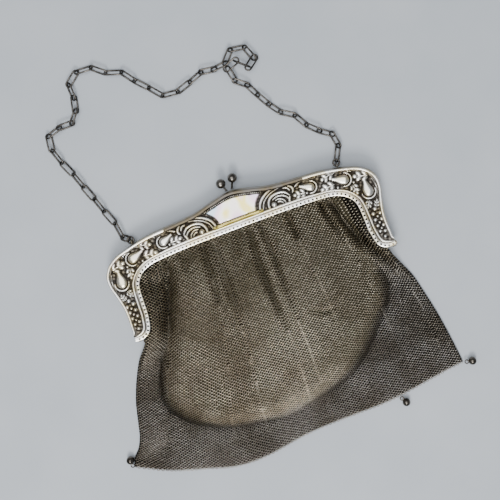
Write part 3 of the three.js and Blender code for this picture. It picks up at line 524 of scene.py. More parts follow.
# how bright a part is, from black to bare silver: partly rubbing and sulphide, partly painted shade on the
# slopes and painted light on the tops of the embossing and the mouldings
rubbedAndShaded = {"hollow": 0.1, "relief": 0.8, "top": 0.08, "rim": 0.85, "plaque": 0.85, "humpEdgeDarkening": 0.45,
          "inside": 0.5, "strip": 0.95, "frontEar": 0.75, "backEar": 0.6, "rivet": 0.7, "eye": 0.45,
          "reach": (3, 5)}


def dome(x, y, centre, a, b, turn, rise):
    c, s = math.cos(turn), math.sin(turn)
    u = ((x - centre[0]) * c + (y - centre[1]) * s) / a
    v = (-(x - centre[0]) * s + (y - centre[1]) * c) / b
    return rise * np.sqrt(np.clip(1 - u * u - v * v, 0, 1))


def ridge(x, y, points, half, rise, ends=0.35):
    # a rounded rib along a line; ends is the share of its width that is left at the ends
    gap, share, _ = toLine(x, y, smoothLine(points, 4 * len(points)))
    width = half * (ends + (1 - ends) * np.sqrt(np.clip(4 * share * (1 - share), 0, 1)))
    return rise * np.sqrt(np.clip(1 - (gap / width) ** 2, 0, 1))


def pearRelief(x, y, bulb, neck, radius):
    way = math.atan2(neck[1] - bulb[1], neck[0] - bulb[0])
    reach = math.hypot(neck[0] - bulb[0], neck[1] - bulb[1])
    along = (x - bulb[0]) * math.cos(way) + (y - bulb[1]) * math.sin(way)
    aside = -(x - bulb[0]) * math.sin(way) + (y - bulb[1]) * math.cos(way)
    aside = np.abs(aside - pear["bend"] * step(0.3, 1, along / reach))
    up = np.clip(along / reach, 0, 1)
    half = radius * (1 - pear["taper"] * step(0.1, 1.0, up))
    end = np.where(along < 0, along / radius, np.clip((along - reach) / (pear["tip"] * radius), 0, 9))
    h = np.sqrt(np.clip(1 - (aside / half) ** 2 - end**2, 0, 1)) * (1 - pear["tip"] * up)
    # the crescent that cups the bulb
    turns = np.linspace(way + pear["cupStart"], way + 2 * math.pi - pear["cupEnd"], pear["cupPoints"])
    out = radius + pear["cupGap"]
    cup = [(bulb[0] + out * math.cos(t), bulb[1] + out * math.sin(t)) for t in turns]
    return np.maximum(h, ridge(x, y, cup, pear["cupHalf"], pear["cupRise"]))


def leafRelief(x, y, at, length, width, turn):
    # plump lobes on both sides of a midrib
    a = math.radians(turn)
    way, side = np.array([math.cos(a), math.sin(a)]), np.array([-math.sin(a), math.cos(a)])
    foot = np.array(at) - way * length / 2
    tip = foot + way * length * lobe["tipAt"]
    h = dome(x, y, tip, lobe["tipLong"] * length, lobe["tipWide"] * length, a, lobe["tipRise"])
    for k in range(lobe["pairs"]):
        for hand in (-1, 1):
            share = lobe["first"] + lobe["spread"] * k / (lobe["pairs"] - 1)
            centre = foot + way * length * share + side * hand * width * (lobe["out"] - lobe["closer"] * k)
            bent = a + hand * math.radians(lobe["turn"])
            bump = dome(x, y, centre, lobe["long"] * length, lobe["wide"] * length, bent, lobe["rise"])
            h = np.maximum(h, bump)
    rib = [foot, foot + way * length * lobe["rib"]]
    return np.maximum(h, ridge(x, y, rib, lobe["ribHalf"], lobe["ribRise"]))


def reliefAt(x, y):
    # height of the embossing above the field as a share of reliefRise, and the shares of the plaque
    # and of the rope band below it; the left half is the pattern of both
    left = -np.abs(x)
    h = ground["rise"] + ground["uneven"] * np.sin(1.9 * x + 0.8 * y) * np.sin(2.3 * y - 0.5 * x)
    for row in fruit:
        h = np.maximum(h, pearRelief(left, y, **row))
    for row in foliage:
        h = np.maximum(h, leafRelief(left, y, **row))
    for row in scrollBands:
        rib = ridge(left, y, row["points"], row["half"], row["rise"], scroll["ends"])
        h = np.maximum(h, scroll["rise"] * rib)
    for berryX, berryY, r in berries:
        h = np.maximum(h, dome(left, y, (berryX, berryY), r, r, 0, berry["rise"] + berry["perRadius"] * r))
    up = y - plaqueEdge["low"]
    edge = plaqueEdge["half"] + plaqueEdge["flare"] * (up / plaqueEdge["flareOver"]).clip(0) ** 2
    inside = step(*fades["plaqueSide"], edge + left) * step(*fades["plaqueLow"], up)
    h = np.maximum(h, inside * plaqueEdge["rise"])
    band = step(*fades["band"], ropeBand["half"] - np.abs(y - ropeBand["middle"]))
    band = band * step(*fades["bandEnd"], ropeBand["reach"] + left)
    slant = x * ropeBand["slantX"] + y * ropeBand["slantY"]
    strands = np.sin(slant * 2 * math.pi / ropeBand["pitch"])
    return np.maximum(h, band * (ropeBand["rise"] + ropeBand["twist"] * strands)), inside, band


def blurred(field, across, along):
    # mean over so many points each way
    for axis, reach in ((1, across), (0, along)):
        total = np.zeros_like(field)
        for shift in range(-reach, reach + 1):
            total += np.roll(field, shift, axis=axis)
        field = total / (2 * reach + 1)
    return field


def plateSection(width, t, face, outer, inner, at):
    # the plate's top from its rounded outer edge (t = 0) to the inner line (t = 1)
    shrink = np.minimum(1, width / clasp["fullProfile"])[:, None]
    d = clasp["draft"] * shrink + t[None, :] * (width[:, None] - clasp["draft"] * shrink)
    e = width[:, None] - d
    field = clasp["halfDepth"] - clasp["fieldDrop"]
    x = outer[:, 0, None] + (inner[:, 0] - outer[:, 0])[:, None] * d / width[:, None]
    y = outer[:, 1, None] + (inner[:, 1] - outer[:, 1])[:, None] * d / width[:, None]
    offHump = step(*fades["hump"], np.abs(x))
    rims = np.zeros(d.shape)
    for row in mouldings:
        depth = (d if row["edge"] == "outer" else e) / shrink
        rise = row["rise"] * np.sqrt(np.clip(1 - ((depth - row["place"]) / row["half"]) ** 2, 0, 1))
        rims = np.maximum(rims, rise * (row["onHump"] + (1 - row["onHump"]) * offHump))
    if face < 0:
        rims = np.maximum(rims, ground["back"] * step(*fades["backOuter"], d) * step(*fades["backInner"], e))
        return x, y, field + rims, rims, rims, np.zeros(d.shape), np.zeros(d.shape)
    clear = step(*fades["fieldOuter"], d / shrink) * step(*fades["fieldInner"], e / shrink)
    h, plaque, band = reliefAt(x, y)
    teeth = step(*fades["milling"], milling["half"] - np.abs(d - milling["place"]))
    teeth = teeth * step(*fades["millingEnd"], milling["reach"] - np.abs(x))
    cut = milling["rise"] + milling["cut"] * np.sign(np.sin(at * 2 * math.pi / milling["pitch"]))[:, None]
    below = step(*fades["belowMilling"], np.where(np.abs(x) < milling["within"], d, np.inf))
    h = np.where(teeth > 0, teeth * cut, h * below)
    total = np.maximum(rims, clear * (h * reliefRise + ground["grit"] * rng.random(d.shape)))
    return x, y, field + total, total, rims, plaque * step(*fades["plaqueTop"], d), band


def levelOf(height, face):
    # a height above the parting, taken up in the front half and down in the back one
    return clasp["halfDepth"] + clasp["parting"] + height if face > 0 else clasp["halfDepth"] - height


def claspHalf(name, face):
    fine = face > 0
    rows = clasp["alongFine"] if fine else clasp["alongPlain"]
    cols = clasp["acrossFine"] if fine else clasp["acrossPlain"]
    outer, inner, _, at = claspAt(rows)
    width = np.linalg.norm(inner - outer, axis=1)
    t = np.linspace(0, 1, cols)
    x, y, z, rise, rims, plaque, band = plateSection(width, t, face, outer, inner, at)
    across = (inner - outer) / width[:, None]
    shrink = np.minimum(1, width / clasp["fullProfile"])
    lipZ = clasp["halfDepth"] - clasp["stripDrop"]
    under = lipZ - clasp["sheet"]

    def levelled(line, height):
        return np.concatenate([line, np.full((rows, 1), height)], 1)

    def wall(inFrom, height):
        return levelled(outer + across * (inFrom * shrink)[:, None], height)

    before = [wall(way, height) for way, height in wallPoints]
    after = [levelled(inner, lipZ), levelled(inner, under), wall(clasp["hollowFrom"], under)]
    ring = np.concatenate([np.stack(before, 1), np.stack([x, y, z], -1), np.stack(after, 1)], 1)
    ring[..., 2] = levelOf(ring[..., 2], face)
    ob = tube(name, ring)
    # bright on what stands proud of its surroundings, dark in the hollows: sulphide in the recesses, and
    # painted shade down each slope with painted light on each top
    proud = rise - blurred(rise, *rubbedAndShaded["reach"]) if fine else np.zeros(rise.shape)
    tone = rubbedAndShaded["hollow"] + proud + rubbedAndShaded["relief"] * rise / reliefRise
    tone = np.clip(tone + rubbedAndShaded["top"] * step(*fades["bright"], rise), 0, 1)
    rimTone = rubbedAndShaded["hollow"] + rubbedAndShaded["rim"] * rims / mouldings[0]["rise"]
    tone = np.maximum(tone, np.clip(rimTone, 0, 1))
    if fine:
        # darker along the plate's outer edge over the hump
        d = np.hypot(x - outer[:, 0, None], y - outer[:, 1, None])
        dull = (1 - step(*fades["dullAlong"], np.abs(x))) * (1 - step(*fades["dullAcross"], d))
        tone = tone * (1 - rubbedAndShaded["humpEdgeDarkening"] * dull)
    tone = np.maximum(tone, rubbedAndShaded["plaque"] * plaque)
    layers = (("relief", tone, rubbedAndShaded["inside"]), ("plaque", plaque, 0.0), ("gilt", band, 0.0))
    for key, values, plain in layers:
        padded = [np.full((rows, len(before)), plain), values, np.full((rows, len(after)), plain)]
        attribute(ob, key, np.concatenate(padded, 1))
    ob.data.materials.append(silver)
    return outward(ob)


def tube(name, ring):
    # a closed body from a row of sections, with its two ends filled
    rows, count = ring.shape[:2]
    ends = [range(count), range((rows - 1) * count, rows * count)]
    return meshFrom(name, ring.reshape(-1, 3), gridQuads(rows, count, around=True), ends)


def piercedStrip(name, face):
    # the edging that the mesh is hung from, drilled along its middle
    _, inner, inward, at = claspAt(clasp["alongStrip"])
    ring = np.zeros((len(at), len(stripSection), 3))
    for k, (past, up) in enumerate(stripSection):
        ring[:, k, :2] = inner + inward * past
        ring[:, k, 2] = levelOf(clasp["halfDepth"] - clasp["stripDrop"] + up, face)
    ob = outward(tube(name, ring))
    middle = inner + inward * clasp["stripWidth"] / 2
    reach = lengthAlong(middle)
    places = np.arange(clasp["holePitch"], reach[-1] - clasp["holePitch"] / 2, clasp["holePitch"])
    drills = []
    z = ring[0, len(stripSection) // 2, 2] - face * clasp["sheet"] / 2
    for distance in places:
        x, y = [np.interp(distance, reach, middle[:, k]) for k in (0, 1)]
        deselectAll()
        bpy.ops.mesh.primitive_cylinder_add(
            vertices=clasp["holeSides"], radius=clasp["holeWidth"] / 2 * mm, depth=clasp["drillLength"] * mm,
            location=spot(x, y, z))
        drills.append(bpy.context.active_object)
    drill = joined("strip_drills", drills)
    place(drill)
    ob.data.materials.append(silver)
    drill.data.materials.append(holeShadeMaterial)
    cut = ob.modifiers.new("pierce", "BOOLEAN")
    cut.operation, cut.solver, cut.object = "DIFFERENCE", "EXACT", drill
    cut.material_mode = "TRANSFER"
    applied(ob)
    bpy.data.objects.remove(drill)
    attribute(ob, "relief", np.full(len(ob.data.vertices), rubbedAndShaded["strip"]))
    return ob


hinge = {
    "height": 1.1, "ear": 1.7, "earSheet": 0.8, "gap": 0.3, "pin": 0.6, "head": 1.1, "headThick": 0.5,
    "headEdge": 0.18, "pinEdge": 0.05, "pinInHead": 0.25, "frontWebTop": 8.0, "frontWebLong": 5.5,
    "backWebLow": 0.8, "backWebLong": 1.4, "around": 32,
}
eye = {"width": 3.6, "wire": 0.8, "place": 56.2, "sunk": 1.03, "around": 28, "sides": 10}
earX = claspStations[0][0] * clasp["halfWidth"]
backEarX = earX - hinge["earSheet"] - hinge["gap"]
pivotZ = clasp["halfDepth"] + clasp["parting"] / 2


def disc(x, radius, thick, side, soften=clasp["softEdge"]):
    # a flat disc across the hinge's axis, its outer face at x
    deselectAll()
    bpy.ops.mesh.primitive_cylinder_add(
        vertices=hinge["around"], radius=radius * mm, depth=thick * mm,
        location=spot(side * (x - thick / 2), hinge["height"], pivotZ), rotation=(0, math.pi / 2, 0))
    ob = bpy.context.active_object
    place(ob)
    return bevelled(ob, soften)


def earPiece(x, side, top, bottom, reach):
    # a round ear with its web running up into the half
    ear = disc(x, hinge["ear"], hinge["earSheet"], side)
    deselectAll()
    bpy.ops.mesh.primitive_cube_add(size=1, location=spot(
        side * (x - hinge["earSheet"] / 2), hinge["height"] + reach / 2, (top + bottom) / 2))
    web = bpy.context.active_object
    web.scale = (hinge["earSheet"] * mm, reach * mm, (top - bottom) * mm)
    place(web)
    return [ear, bevelled(web, clasp["softEdge"])]


def finishFrame(ob, nodeName, mat, degrees=35):
    # one finished piece: its material, shading, body and the node that it replaces
    if mat:
        ob.data.materials.clear()
        ob.data.materials.append(mat)
    smooth(ob, degrees)
    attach(ob, "root")
    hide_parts(nodeName)
    return ob


def withRelief(ob, value):
    # plain metal joined to an embossed piece needs the same attribute
    ob.data.materials.append(silver)
    attribute(ob, "relief", np.full(len(ob.data.vertices), value))
    return ob


silver = platedSilver()
holeShadeMaterial = paintedHoleShade()
print("front half of the frame")
frontParts = [claspHalf("frame_front_half", 1), piercedStrip("front_strip", 1)]
for side in (-1, 1):
    ears = earPiece(earX, side, hinge["frontWebTop"], pivotZ, hinge["frontWebLong"])
    frontParts += [withRelief(ob, rubbedAndShaded["frontEar"]) for ob in ears]
finishFrame(joined("frame_front_half", frontParts), "frame_front", None)

print("back half of the frame")
backParts = [claspHalf("frame_back_half", -1), piercedStrip("back_strip", -1)]
for side in (-1, 1):
    ears = earPiece(backEarX, side, pivotZ, hinge["backWebLow"], hinge["backWebLong"])
    backParts += [withRelief(ob, rubbedAndShaded["backEar"]) for ob in ears]
    x = side * eye["place"]
    eyeAt = spot(x, topAt(x) + eye["width"] / 2 - eye["sunk"], clasp["halfDepth"] / 2)
    ring = wireRing(eye["width"] - eye["wire"], eye["wire"], eye["around"], eye["sides"],
                    location=eyeAt, rotation=(0, math.pi / 2, 0))
    backParts.append(withRelief(ring, rubbedAndShaded["eye"]))
finishFrame(joined("frame_back_half", backParts), "frame_back", None)

print("hinge pins")
for side, word in ((-1, "left"), (1, "right")):
    inside = backEarX - hinge["earSheet"] - hinge["gap"]
    outside = earX + hinge["gap"]
    pinLong = outside - inside + 2 * hinge["pinInHead"]
    parts = [
        disc(outside + hinge["headThick"], hinge["head"], hinge["headThick"], side, hinge["headEdge"]),
        disc(outside + hinge["pinInHead"], hinge["pin"], pinLong, side, hinge["pinEdge"]),
        disc(inside, hinge["head"], hinge["headThick"], side, hinge["headEdge"]),
    ]
    pin = withRelief(joined(f"hinge_rivet_{word}", parts), rubbedAndShaded["rivet"])
    finishFrame(pin, f"hinge_pin_{word}", silver)

# Clasp knobs: polished balls on leaning stalks

knobMetal = darkWire("oxidised_ball_metal", "#57534e", "#8b867f", 0.2)
knobTable = [
    {"word": "front", "foot": -1.0, "lean": -1.6, "rise": 4.9, "footZ": 7.95, "ballZ": 6.3},
    {"word": "back", "foot": 1.6, "lean": 2.2, "rise": 5.7, "footZ": 2.75, "ballZ": 4.8},
]
knob = {"ball": 2.5, "stalk": 0.55, "collar": 0.85, "collarRise": 0.8, "gap": 0.3, "taper": 1.1,
        "stalkFrom": 0.7}
roundShading = 60  # degrees between faces that are still shaded as one


def rod(start, end, radius, sides=20, endRadius=None):
    way = end - start
    deselectAll()
    bpy.ops.mesh.primitive_cone_add(
        vertices=sides, radius1=radius * mm, radius2=(endRadius or radius) * mm, depth=way.length,
        location=(start + end) / 2, rotation=way.to_track_quat("Z", "Y").to_euler())
    ob = bpy.context.active_object
    place(ob)
    return ob


def ball(centre, radius, segments=40, rings=24):
    deselectAll()
    bpy.ops.mesh.primitive_uv_sphere_add(
        segments=segments, ring_count=rings, radius=radius * mm, location=centre)
    ob = bpy.context.active_object
    place(ob)
    return ob


print("clasp knobs")
for row in knobTable:
    topY = topAt(row["foot"]) + knob["gap"]
    foot = spot(row["foot"], topY, row["footZ"])
    collarTop = spot(row["foot"], topY + knob["collarRise"], row["footZ"])
    middle = spot(row["foot"] + row["lean"], topY - knob["gap"] + row["rise"], row["ballZ"])
    parts = [
        rod(foot, collarTop, knob["collar"], endRadius=knob["stalk"] * knob["taper"]),
        rod(foot.lerp(collarTop, knob["stalkFrom"]), middle, knob["stalk"]),
        ball(middle, knob["ball"]),
    ]
    piece = joined(f"kiss_knob_{row['word']}", parts)
    finishFrame(piece, f"clasp_knob_{row['word']}", knobMetal, roundShading)


# Chain: one smooth link for each link of the model, laid exactly where that one lies

wireMetal = darkWire("oxidised_chain_wire", "#3b3835", "#726d67", 0.26)
chain = {"wire": 0.92, "modelWire": 0.8, "around": 32, "sides": 12}


def longLink(name, length, width):
    # a ring pulled apart along X into a long link
    ob = wireRing(width - chain["modelWire"], chain["wire"], chain["around"], chain["sides"])
    half = (length - width) / 2 * mm
    for vert in ob.data.vertices:
        if abs(vert.co.x) > 1e-7:
            vert.co.x += math.copysign(half, vert.co.x)
    return named(name)


def nodeAxes(name):
    # the middle of a node, its three axes with the longest first, and its spans along them; its
    # triangles are loose, so each corner is counted once
    co = np.array([v.co[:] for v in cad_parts[name].data.vertices])
    co = np.unique(np.round(co, 8), axis=0)
    centre = co.mean(0)
    along, side, up = np.linalg.eigh(np.cov((co - centre).T))[1].T[::-1]
    if np.dot(np.cross(along, side), up) < 0:
        up = -up
    axes = np.stack([along, side, up], 1)
    turned = (co - centre) @ axes
    mid = (turned.min(0) + turned.max(0)) / 2
    return centre + axes @ mid, axes, (turned.max(0) - turned.min(0)) / mm


chainNodes = [n for n in allNodes if n.startswith(("chain_link", "end_link", "jump_ring"))]
for name in chainNodes:
    centre, axes, spans = nodeAxes(name)
    piece = longLink("smooth_" + name, spans[0], spans[1])
    turn = Matrix([list(row) + [0] for row in axes] + [[0, 0, 0, 1]])
    piece.data.transform(Matrix.Translation(Vector(centre)) @ turn)
    finishFrame(piece, name, wireMetal, roundShading)
print("chain", len(chainNodes))

# Drop balls on the hem: a ball with its soldered loop

dropMetal = darkWire("tarnished_drop_metal", "#3f3b36", "#78726a", 0.18)
drop = {"ball": 2.05, "loop": 2.4, "wire": 0.6, "around": 24, "sides": 8}
dropTable = [
    {"word": "left", "atLeft": True, "atTop": True, "turn": 95},
    {"word": "bottom", "atLeft": False, "atTop": False, "turn": -60},
    {"word": "right", "atLeft": False, "atTop": False, "turn": -10},
]
for row in dropTable:
    low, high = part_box(f"drop_ball_{row['word']}")
    r = drop["ball"] * mm
    x = low.x + r if row["atLeft"] else high.x - r
    y = high.y - r if row["atTop"] else low.y + r
    centre = Vector((x, y, r))
    way = Vector((math.cos(math.radians(row["turn"])), math.sin(math.radians(row["turn"])), 0))
    loopAt = centre - way * (drop["ball"] + drop["loop"] / 2 - drop["wire"] / 2) * mm
    loop = wireRing(drop["loop"] - drop["wire"], drop["wire"], drop["around"], drop["sides"], location=loopAt)
    piece = joined(f"hem_drop_{row['word']}", [ball(centre, drop["ball"]), loop])
    finishFrame(piece, f"drop_ball_{row['word']}", dropMetal, roundShading)
print("drop balls")

# Mesh bag. Its shape is a height over the surface; its grain is a lattice of rings whose columns
# run from the mouth to the hem and vanish into the valleys of the gathers.

bag = {
    "mouthZ": 8.65, "pouchZ": 10.6, "marginZ": 1.75, "edgeZ": 0.95, "columnPitch": 1.1, "leastPitch": 1.04,
    "ringRadius": 0.8, "wire": 0.47, "closer": 0.07, "tilt": 44, "unevenTilt": 5, "unevenPlace": 0.045,
    "ringSteps": 8, "wireSides": 3, "rows": 77, "topMiddle": 37.4, "topSag": 6.0, "topHalf": 60,
    "hemClear": 0.5, "firstTop": 37, "firstDrop": 113, "rounds": 4, "seamOver": 0.35, "sideClear": 0.45,
    "legFoot": 3.6, "underStrip": 0.95, "slopeStep": 0.4, "wallTop": 36, "pieces": 4,
}
# how the front layer lies: fades run from the mouth, the lining's outline, the edge or along a valley
drape = {
    "crown": (2, 26), "swell": 0.35, "swellWave": 13.0, "swellFade": (10, 40), "foot": (-3.0, 10.0),
    "footCut": (-3.2, -1.0), "side": (1.5, 21), "sideBend": 1.2, "mouthFade": (0.4, 3.5), "shoulder": 0.3,
    "shoulderAt": 2.1, "valleyStart": (0, 0.06), "valleyEnd": (0.6, 1.0), "gather": 0.32, "gatherPitch": 3.5,
    "gatherReach": 8.0, "gatherLow": 20, "gatherBend": 1.3, "gatherBendOver": 7,
    "gatherFade": 1.5, "slackFade": (4, 14),
    "edge": (0, 2.2), "legFoot": 3,
}
slackWaves = [(0.16, 4.1, 9.0), (0.14, -8.0, 5.3)]  # rise, and millimetres along x and y for one radian
# colour of the rings: painted light and warmth over the lining, painted shade in the valleys, along the
# pouch's foot and under the strip, and a painted pool of light
ringTone = {
    "warmFoot": (-2.0, 4.0), "warmTop": (-16, 4), "hidden": 1.4, "valleys": 8, "deepest": 2.4, "low": 0.6,
    "lowWidth": 0.9,
    "crease": 0.5, "creaseWidth": 1.8, "creaseFade": (2, -25), "tint": 0.22, "tintSpread": 0.5, "paintedLight": 0.5,
    "paintedLightAt": (-5, -34), "paintedLightHalf": (48, 34),
}
leftEdge = [(-60, 37), (-62.3, 28), (-63.4, 15), (-65.6, 5), (-68.6, -2.5), (-75, -10.5), (-80, -20),
            (-84, -30), (-86.5, -40), (-88.3, -47), (-91.2, -53), (-95.2, -57.4), (-96, -61)]
rightEdge = [(60, 36), (62.6, 28), (63.4, 15), (64.8, 5), (67.2, -4), (70.2, -11), (73.2, -18), (75.9, -29),
             (78.2, -40), (80.3, -54), (82, -69.4)]
hemLine = [(-96, -61), (-90, -64), (-80, -68.8), (-70, -72.3), (-60, -75.2), (-52, -77.8), (-45, -79.3),
           (-36, -79.8), (-28, -79.3), (-20, -78.2), (-10, -76.6), (0, -75.7), (20, -75.4), (40, -75),
           (50, -73.9), (60, -72.4), (70, -71), (82, -69.4)]
# the lining's outline, which lifts the mesh into a pouch
pouchLine = [(-47, 38), (-47.5, 20), (-52.5, 5), (-57.5, -5), (-62, -15), (-66.3, -26), (-67.3, -35),
             (-60.5, -45.5), (-51, -52), (-40.9, -56.2), (-30, -58.8), (-19.1, -60.2), (-8, -60),
             (2.7, -58.4), (12, -56.5), (20.9, -54.0), (28, -50.3), (35.5, -44.8), (42, -38.6),
             (48.2, -31.4), (53, -26.6), (56.6, -20), (58, -11), (57.5, 0), (55.5, 15), (54, 30), (53, 38)]
# valleys of the gathers: route from the mouth down, depth and half width
valleys = [
    {"route": [(-42, 36), (-43.2, 28), (-46.5, 18), (-51, 8), (-54.5, -2), (-58.5, -12)],
     "depth": 2.0, "half": 2.1},
    {"route": [(-22, 36), (-22.8, 22), (-24.2, 8), (-25.5, -2)], "depth": 1.3, "half": 1.2},
    {"route": [(-16, 36), (-16.4, 22), (-17, 8), (-17.2, -8)], "depth": 1.2, "half": 1.3},
    {"route": [(3.4, 36), (2.2, 22), (2.2, 5), (3, -10), (3.6, -26)], "depth": 1.9, "half": 1.25},
    {"route": [(9.2, 33), (10, 18), (10, 0), (10.6, -18)], "depth": 1.3, "half": 1.2},
    {"route": [(23.8, 36), (24.2, 27), (25.2, 16)], "depth": 1.7, "half": 1.1},
    {"route": [(40.3, 36), (42, 28), (44.4, 19), (46.6, 10)], "depth": 1.8, "half": 1.3},
    {"route": [(46, 35), (48, 25), (51.5, 15), (55.3, 7), (59.3, 0), (63.2, -8), (68, -18)],
     "depth": 2.3, "half": 1.9},
    {"route": [(19, -14.5), (25, -17.6), (31.5, -16)], "depth": 1.0, "half": 1.3},
    {"route": [(-33, 36), (-33.6, 30), (-34.5, 22)], "depth": 0.8, "half": 0.9},
    {"route": [(33.5, 36), (33.2, 29), (33.6, 22)], "depth": 0.8, "half": 0.9},
    {"route": [(-8.5, 36), (-8.8, 30), (-9, 24)], "depth": 0.7, "half": 0.9},
    {"route": [(-3.5, 36), (-3.8, 30), (-4, 25)], "depth": 0.6, "half": 0.8},
]
# lines that part the lattice into strips: x at each level of y, and at the hem
levels = [36, 20, 5, -10, -25, -45, -78]
stripLines = [
    [-42, -46, -52, -57.5, -63.5, -71, -78],
    [-22, -23, -24.6, -27, -30.5, -36.5, -46],
    [-16, -16.5, -17, -17.6, -18.8, -21.5, -27],
    [3.4, 2.2, 2.2, 3, 3.6, 3, 0.5],
    [9.2, 10, 10, 10.3, 10.8, 10.6, 9.5],
    [23.8, 24.8, 26.2, 27.6, 28.6, 29.2, 29],
    [40.3, 44.2, 48.4, 51, 52.3, 53, 53],
    [46, 49.8, 56.4, 64.2, 70, 72.6, 74],
]
leftCurve, rightCurve = smoothLine(leftEdge, 60), smoothLine(rightEdge, 60)
hemCurve, pouchCurve = smoothLine(hemLine, 120), smoothLine(pouchLine, 80)
freeEdge = 22  # points of a side's curve before it leaves the frame
_, stripStart, stripWay, _ = claspAt(300)
mouthCurve = stripStart + stripWay * clasp["stripWidth"] / 2


def leftAt(y):
    return np.interp(-y, -leftCurve[:, 1], leftCurve[:, 0])


def rightAt(y):
    return np.interp(-y, -rightCurve[:, 1], rightCurve[:, 0])


def hemAt(x):
    return np.interp(x, hemCurve[:, 0], hemCurve[:, 1])


def pouchDepth(x, y):
    # how far inside the lining's outline a place is, negative outside
    gap, _, side = toLine(x, y, pouchCurve)
    above = (y > bag["wallTop"]) & (x > pouchLine[0][0]) & (x < pouchLine[-1][0])
    return np.where(above, np.abs(gap), gap * side)


def edgeGap(x, y):
    # distance to the free edges of the bag
    gaps = [toLine(x, y, line)[0] for line in (leftCurve[freeEdge:], rightCurve[freeEdge:], hemCurve)]
    return np.minimum(np.minimum(gaps[0], gaps[1]), gaps[2])


def alongValley(x, y, valley):
    # distance to a valley, the share of the way down it and how far it has faded out there
    gap, share, _ = toLine(x, y, smoothLine(valley["route"], 20))
    return gap, share, 1 - step(*drape["valleyEnd"], share)


def bagHeight(x, y):
    # middle of the ring layer above the surface that the purse lies on
    inside = pouchDepth(x, y)
    mouth = toLine(x, y, mouthCurve)[0]
    crown = bag["mouthZ"] + (bag["pouchZ"] - bag["mouthZ"]) * step(*drape["crown"], mouth)
    crown = crown + drape["swell"] * np.sin(x / drape["swellWave"]) * step(*drape["swellFade"], mouth)
    lift = np.sqrt(step(*drape["foot"], inside)) * step(*drape["footCut"], inside)
    pouch = bag["marginZ"] + (crown - bag["marginZ"]) * lift
    down = (1 - step(*drape["side"], mouth)) ** drape["sideBend"]
    z = np.maximum(pouch, bag["marginZ"] + (bag["mouthZ"] - bag["marginZ"]) * down)
    reach = step(*drape["mouthFade"], mouth)
    for valley in valleys:
        gap, share, fade = alongValley(x, y, valley)
        fade = step(*drape["valleyStart"], share) * fade + (share == 0)
        w = valley["half"]
        beside = np.exp(-((gap - drape["shoulderAt"] * w) / w) ** 2)
        z = z - valley["depth"] * (np.exp(-(gap / w) ** 2) - drape["shoulder"] * beside) * fade * reach
    # fine gathers just below the strip, and slow unevenness of cloth that has lain about
    bend = drape["gatherBend"] * np.sin(x / drape["gatherBendOver"])
    gather = np.sin(x * 2 * math.pi / drape["gatherPitch"] + bend) * reach
    gather = drape["gather"] * gather * np.exp(-(mouth / drape["gatherReach"]) ** drape["gatherFade"])
    slack = sum(rise * np.sin(x / overX + y / overY) for rise, overX, overY in slackWaves)
    z = z + gather * (y > drape["gatherLow"]) + slack * step(*drape["slackFade"], mouth)
    flat = bag["edgeZ"] + (z - bag["edgeZ"]) * step(*drape["edge"], edgeGap(x, y))
    return np.maximum(np.where(y < drape["legFoot"], flat, z), bag["edgeZ"])


def stripX(k, y):
    # x of parting line k at the height y
    if k < 0:
        return leftAt(y)
    if k >= len(stripLines):
        return rightAt(y)
    return through(-np.array(levels, float), stripLines[k], -y)


def latticeSpots():
    # a row for each ring: its place, the way to the next column and the way down its own column
    reach = lengthAlong(hemCurve)
    count = int(reach[-1] / bag["columnPitch"])
    hemX = [hemCurve[0, 0]] + [line[-1] for line in stripLines] + [hemCurve[-1, 0]]
    bounds = np.interp(hemX, hemCurve[:, 0], reach) / reach[-1] * count
    spots = []
    last = len(bounds) - 2
    for k in range(last + 1):
        cols = np.arange(math.ceil(bounds[k]), math.floor(bounds[k + 1]) + 1)
        cols = cols[(cols < bounds[k + 1]) | (k == last)]
        c, r = np.meshgrid(cols, np.arange(bag["rows"] + 1), indexing="ij")
        c, r = c.ravel().astype(float), r.ravel().astype(float)
        w = (r + 0.5 * (c % 2)) / bag["rows"]
        w = w * (1 + bag["closer"] * (1 - w))

        def where(c, w):
            # x depends on y and y on x, so both are found in a few rounds
            y = bag["firstTop"] - bag["firstDrop"] * w
            for _ in range(bag["rounds"]):
                a, b = stripX(k - 1, y), stripX(k, y)
                pitch = np.maximum((b - a) / (bounds[k + 1] - bounds[k]), bag["leastPitch"])
                if k == 0:
                    x = a + (c - bounds[k]) * pitch
                elif k == last:
                    x = b - (bounds[k + 1] - c) * pitch
                else:
                    x = (a + b) / 2 + (c - (bounds[k] + bounds[k + 1]) / 2) * pitch
                top = bag["topMiddle"] + bag["topSag"] * (x / bag["topHalf"]) ** 2
                y = top + (hemAt(x) + bag["hemClear"] - top) * w
            return x, y, a, b

        x, y, a, b = where(c, w)
        x2, y2, _, _ = where(c + 0.5, w)
        x3, y3, _, _ = where(c, w + 0.004)
        keep = (x > a - bag["seamOver"]) & (x < b + bag["seamOver"]) & (w <= 1.0)
        if k == 0:
            keep &= x > a + bag["sideClear"]
        if k == last:
            keep &= x < b - bag["sideClear"]
        spots.append(np.stack([x, y, x2 - x, y2 - y, x3 - x, y3 - y], 1)[keep])
    spots = np.concatenate(spots)
    x, y = spots[:, 0], spots[:, 1]
    side = toLine(x, y, mouthCurve)[2]
    hung = (side < 0) & (y > bag["legFoot"])
    return spots[hung | (y <= bag["legFoot"])]


def unit(v):
    return v / np.maximum(np.linalg.norm(v, axis=1), 1e-9)[:, None]


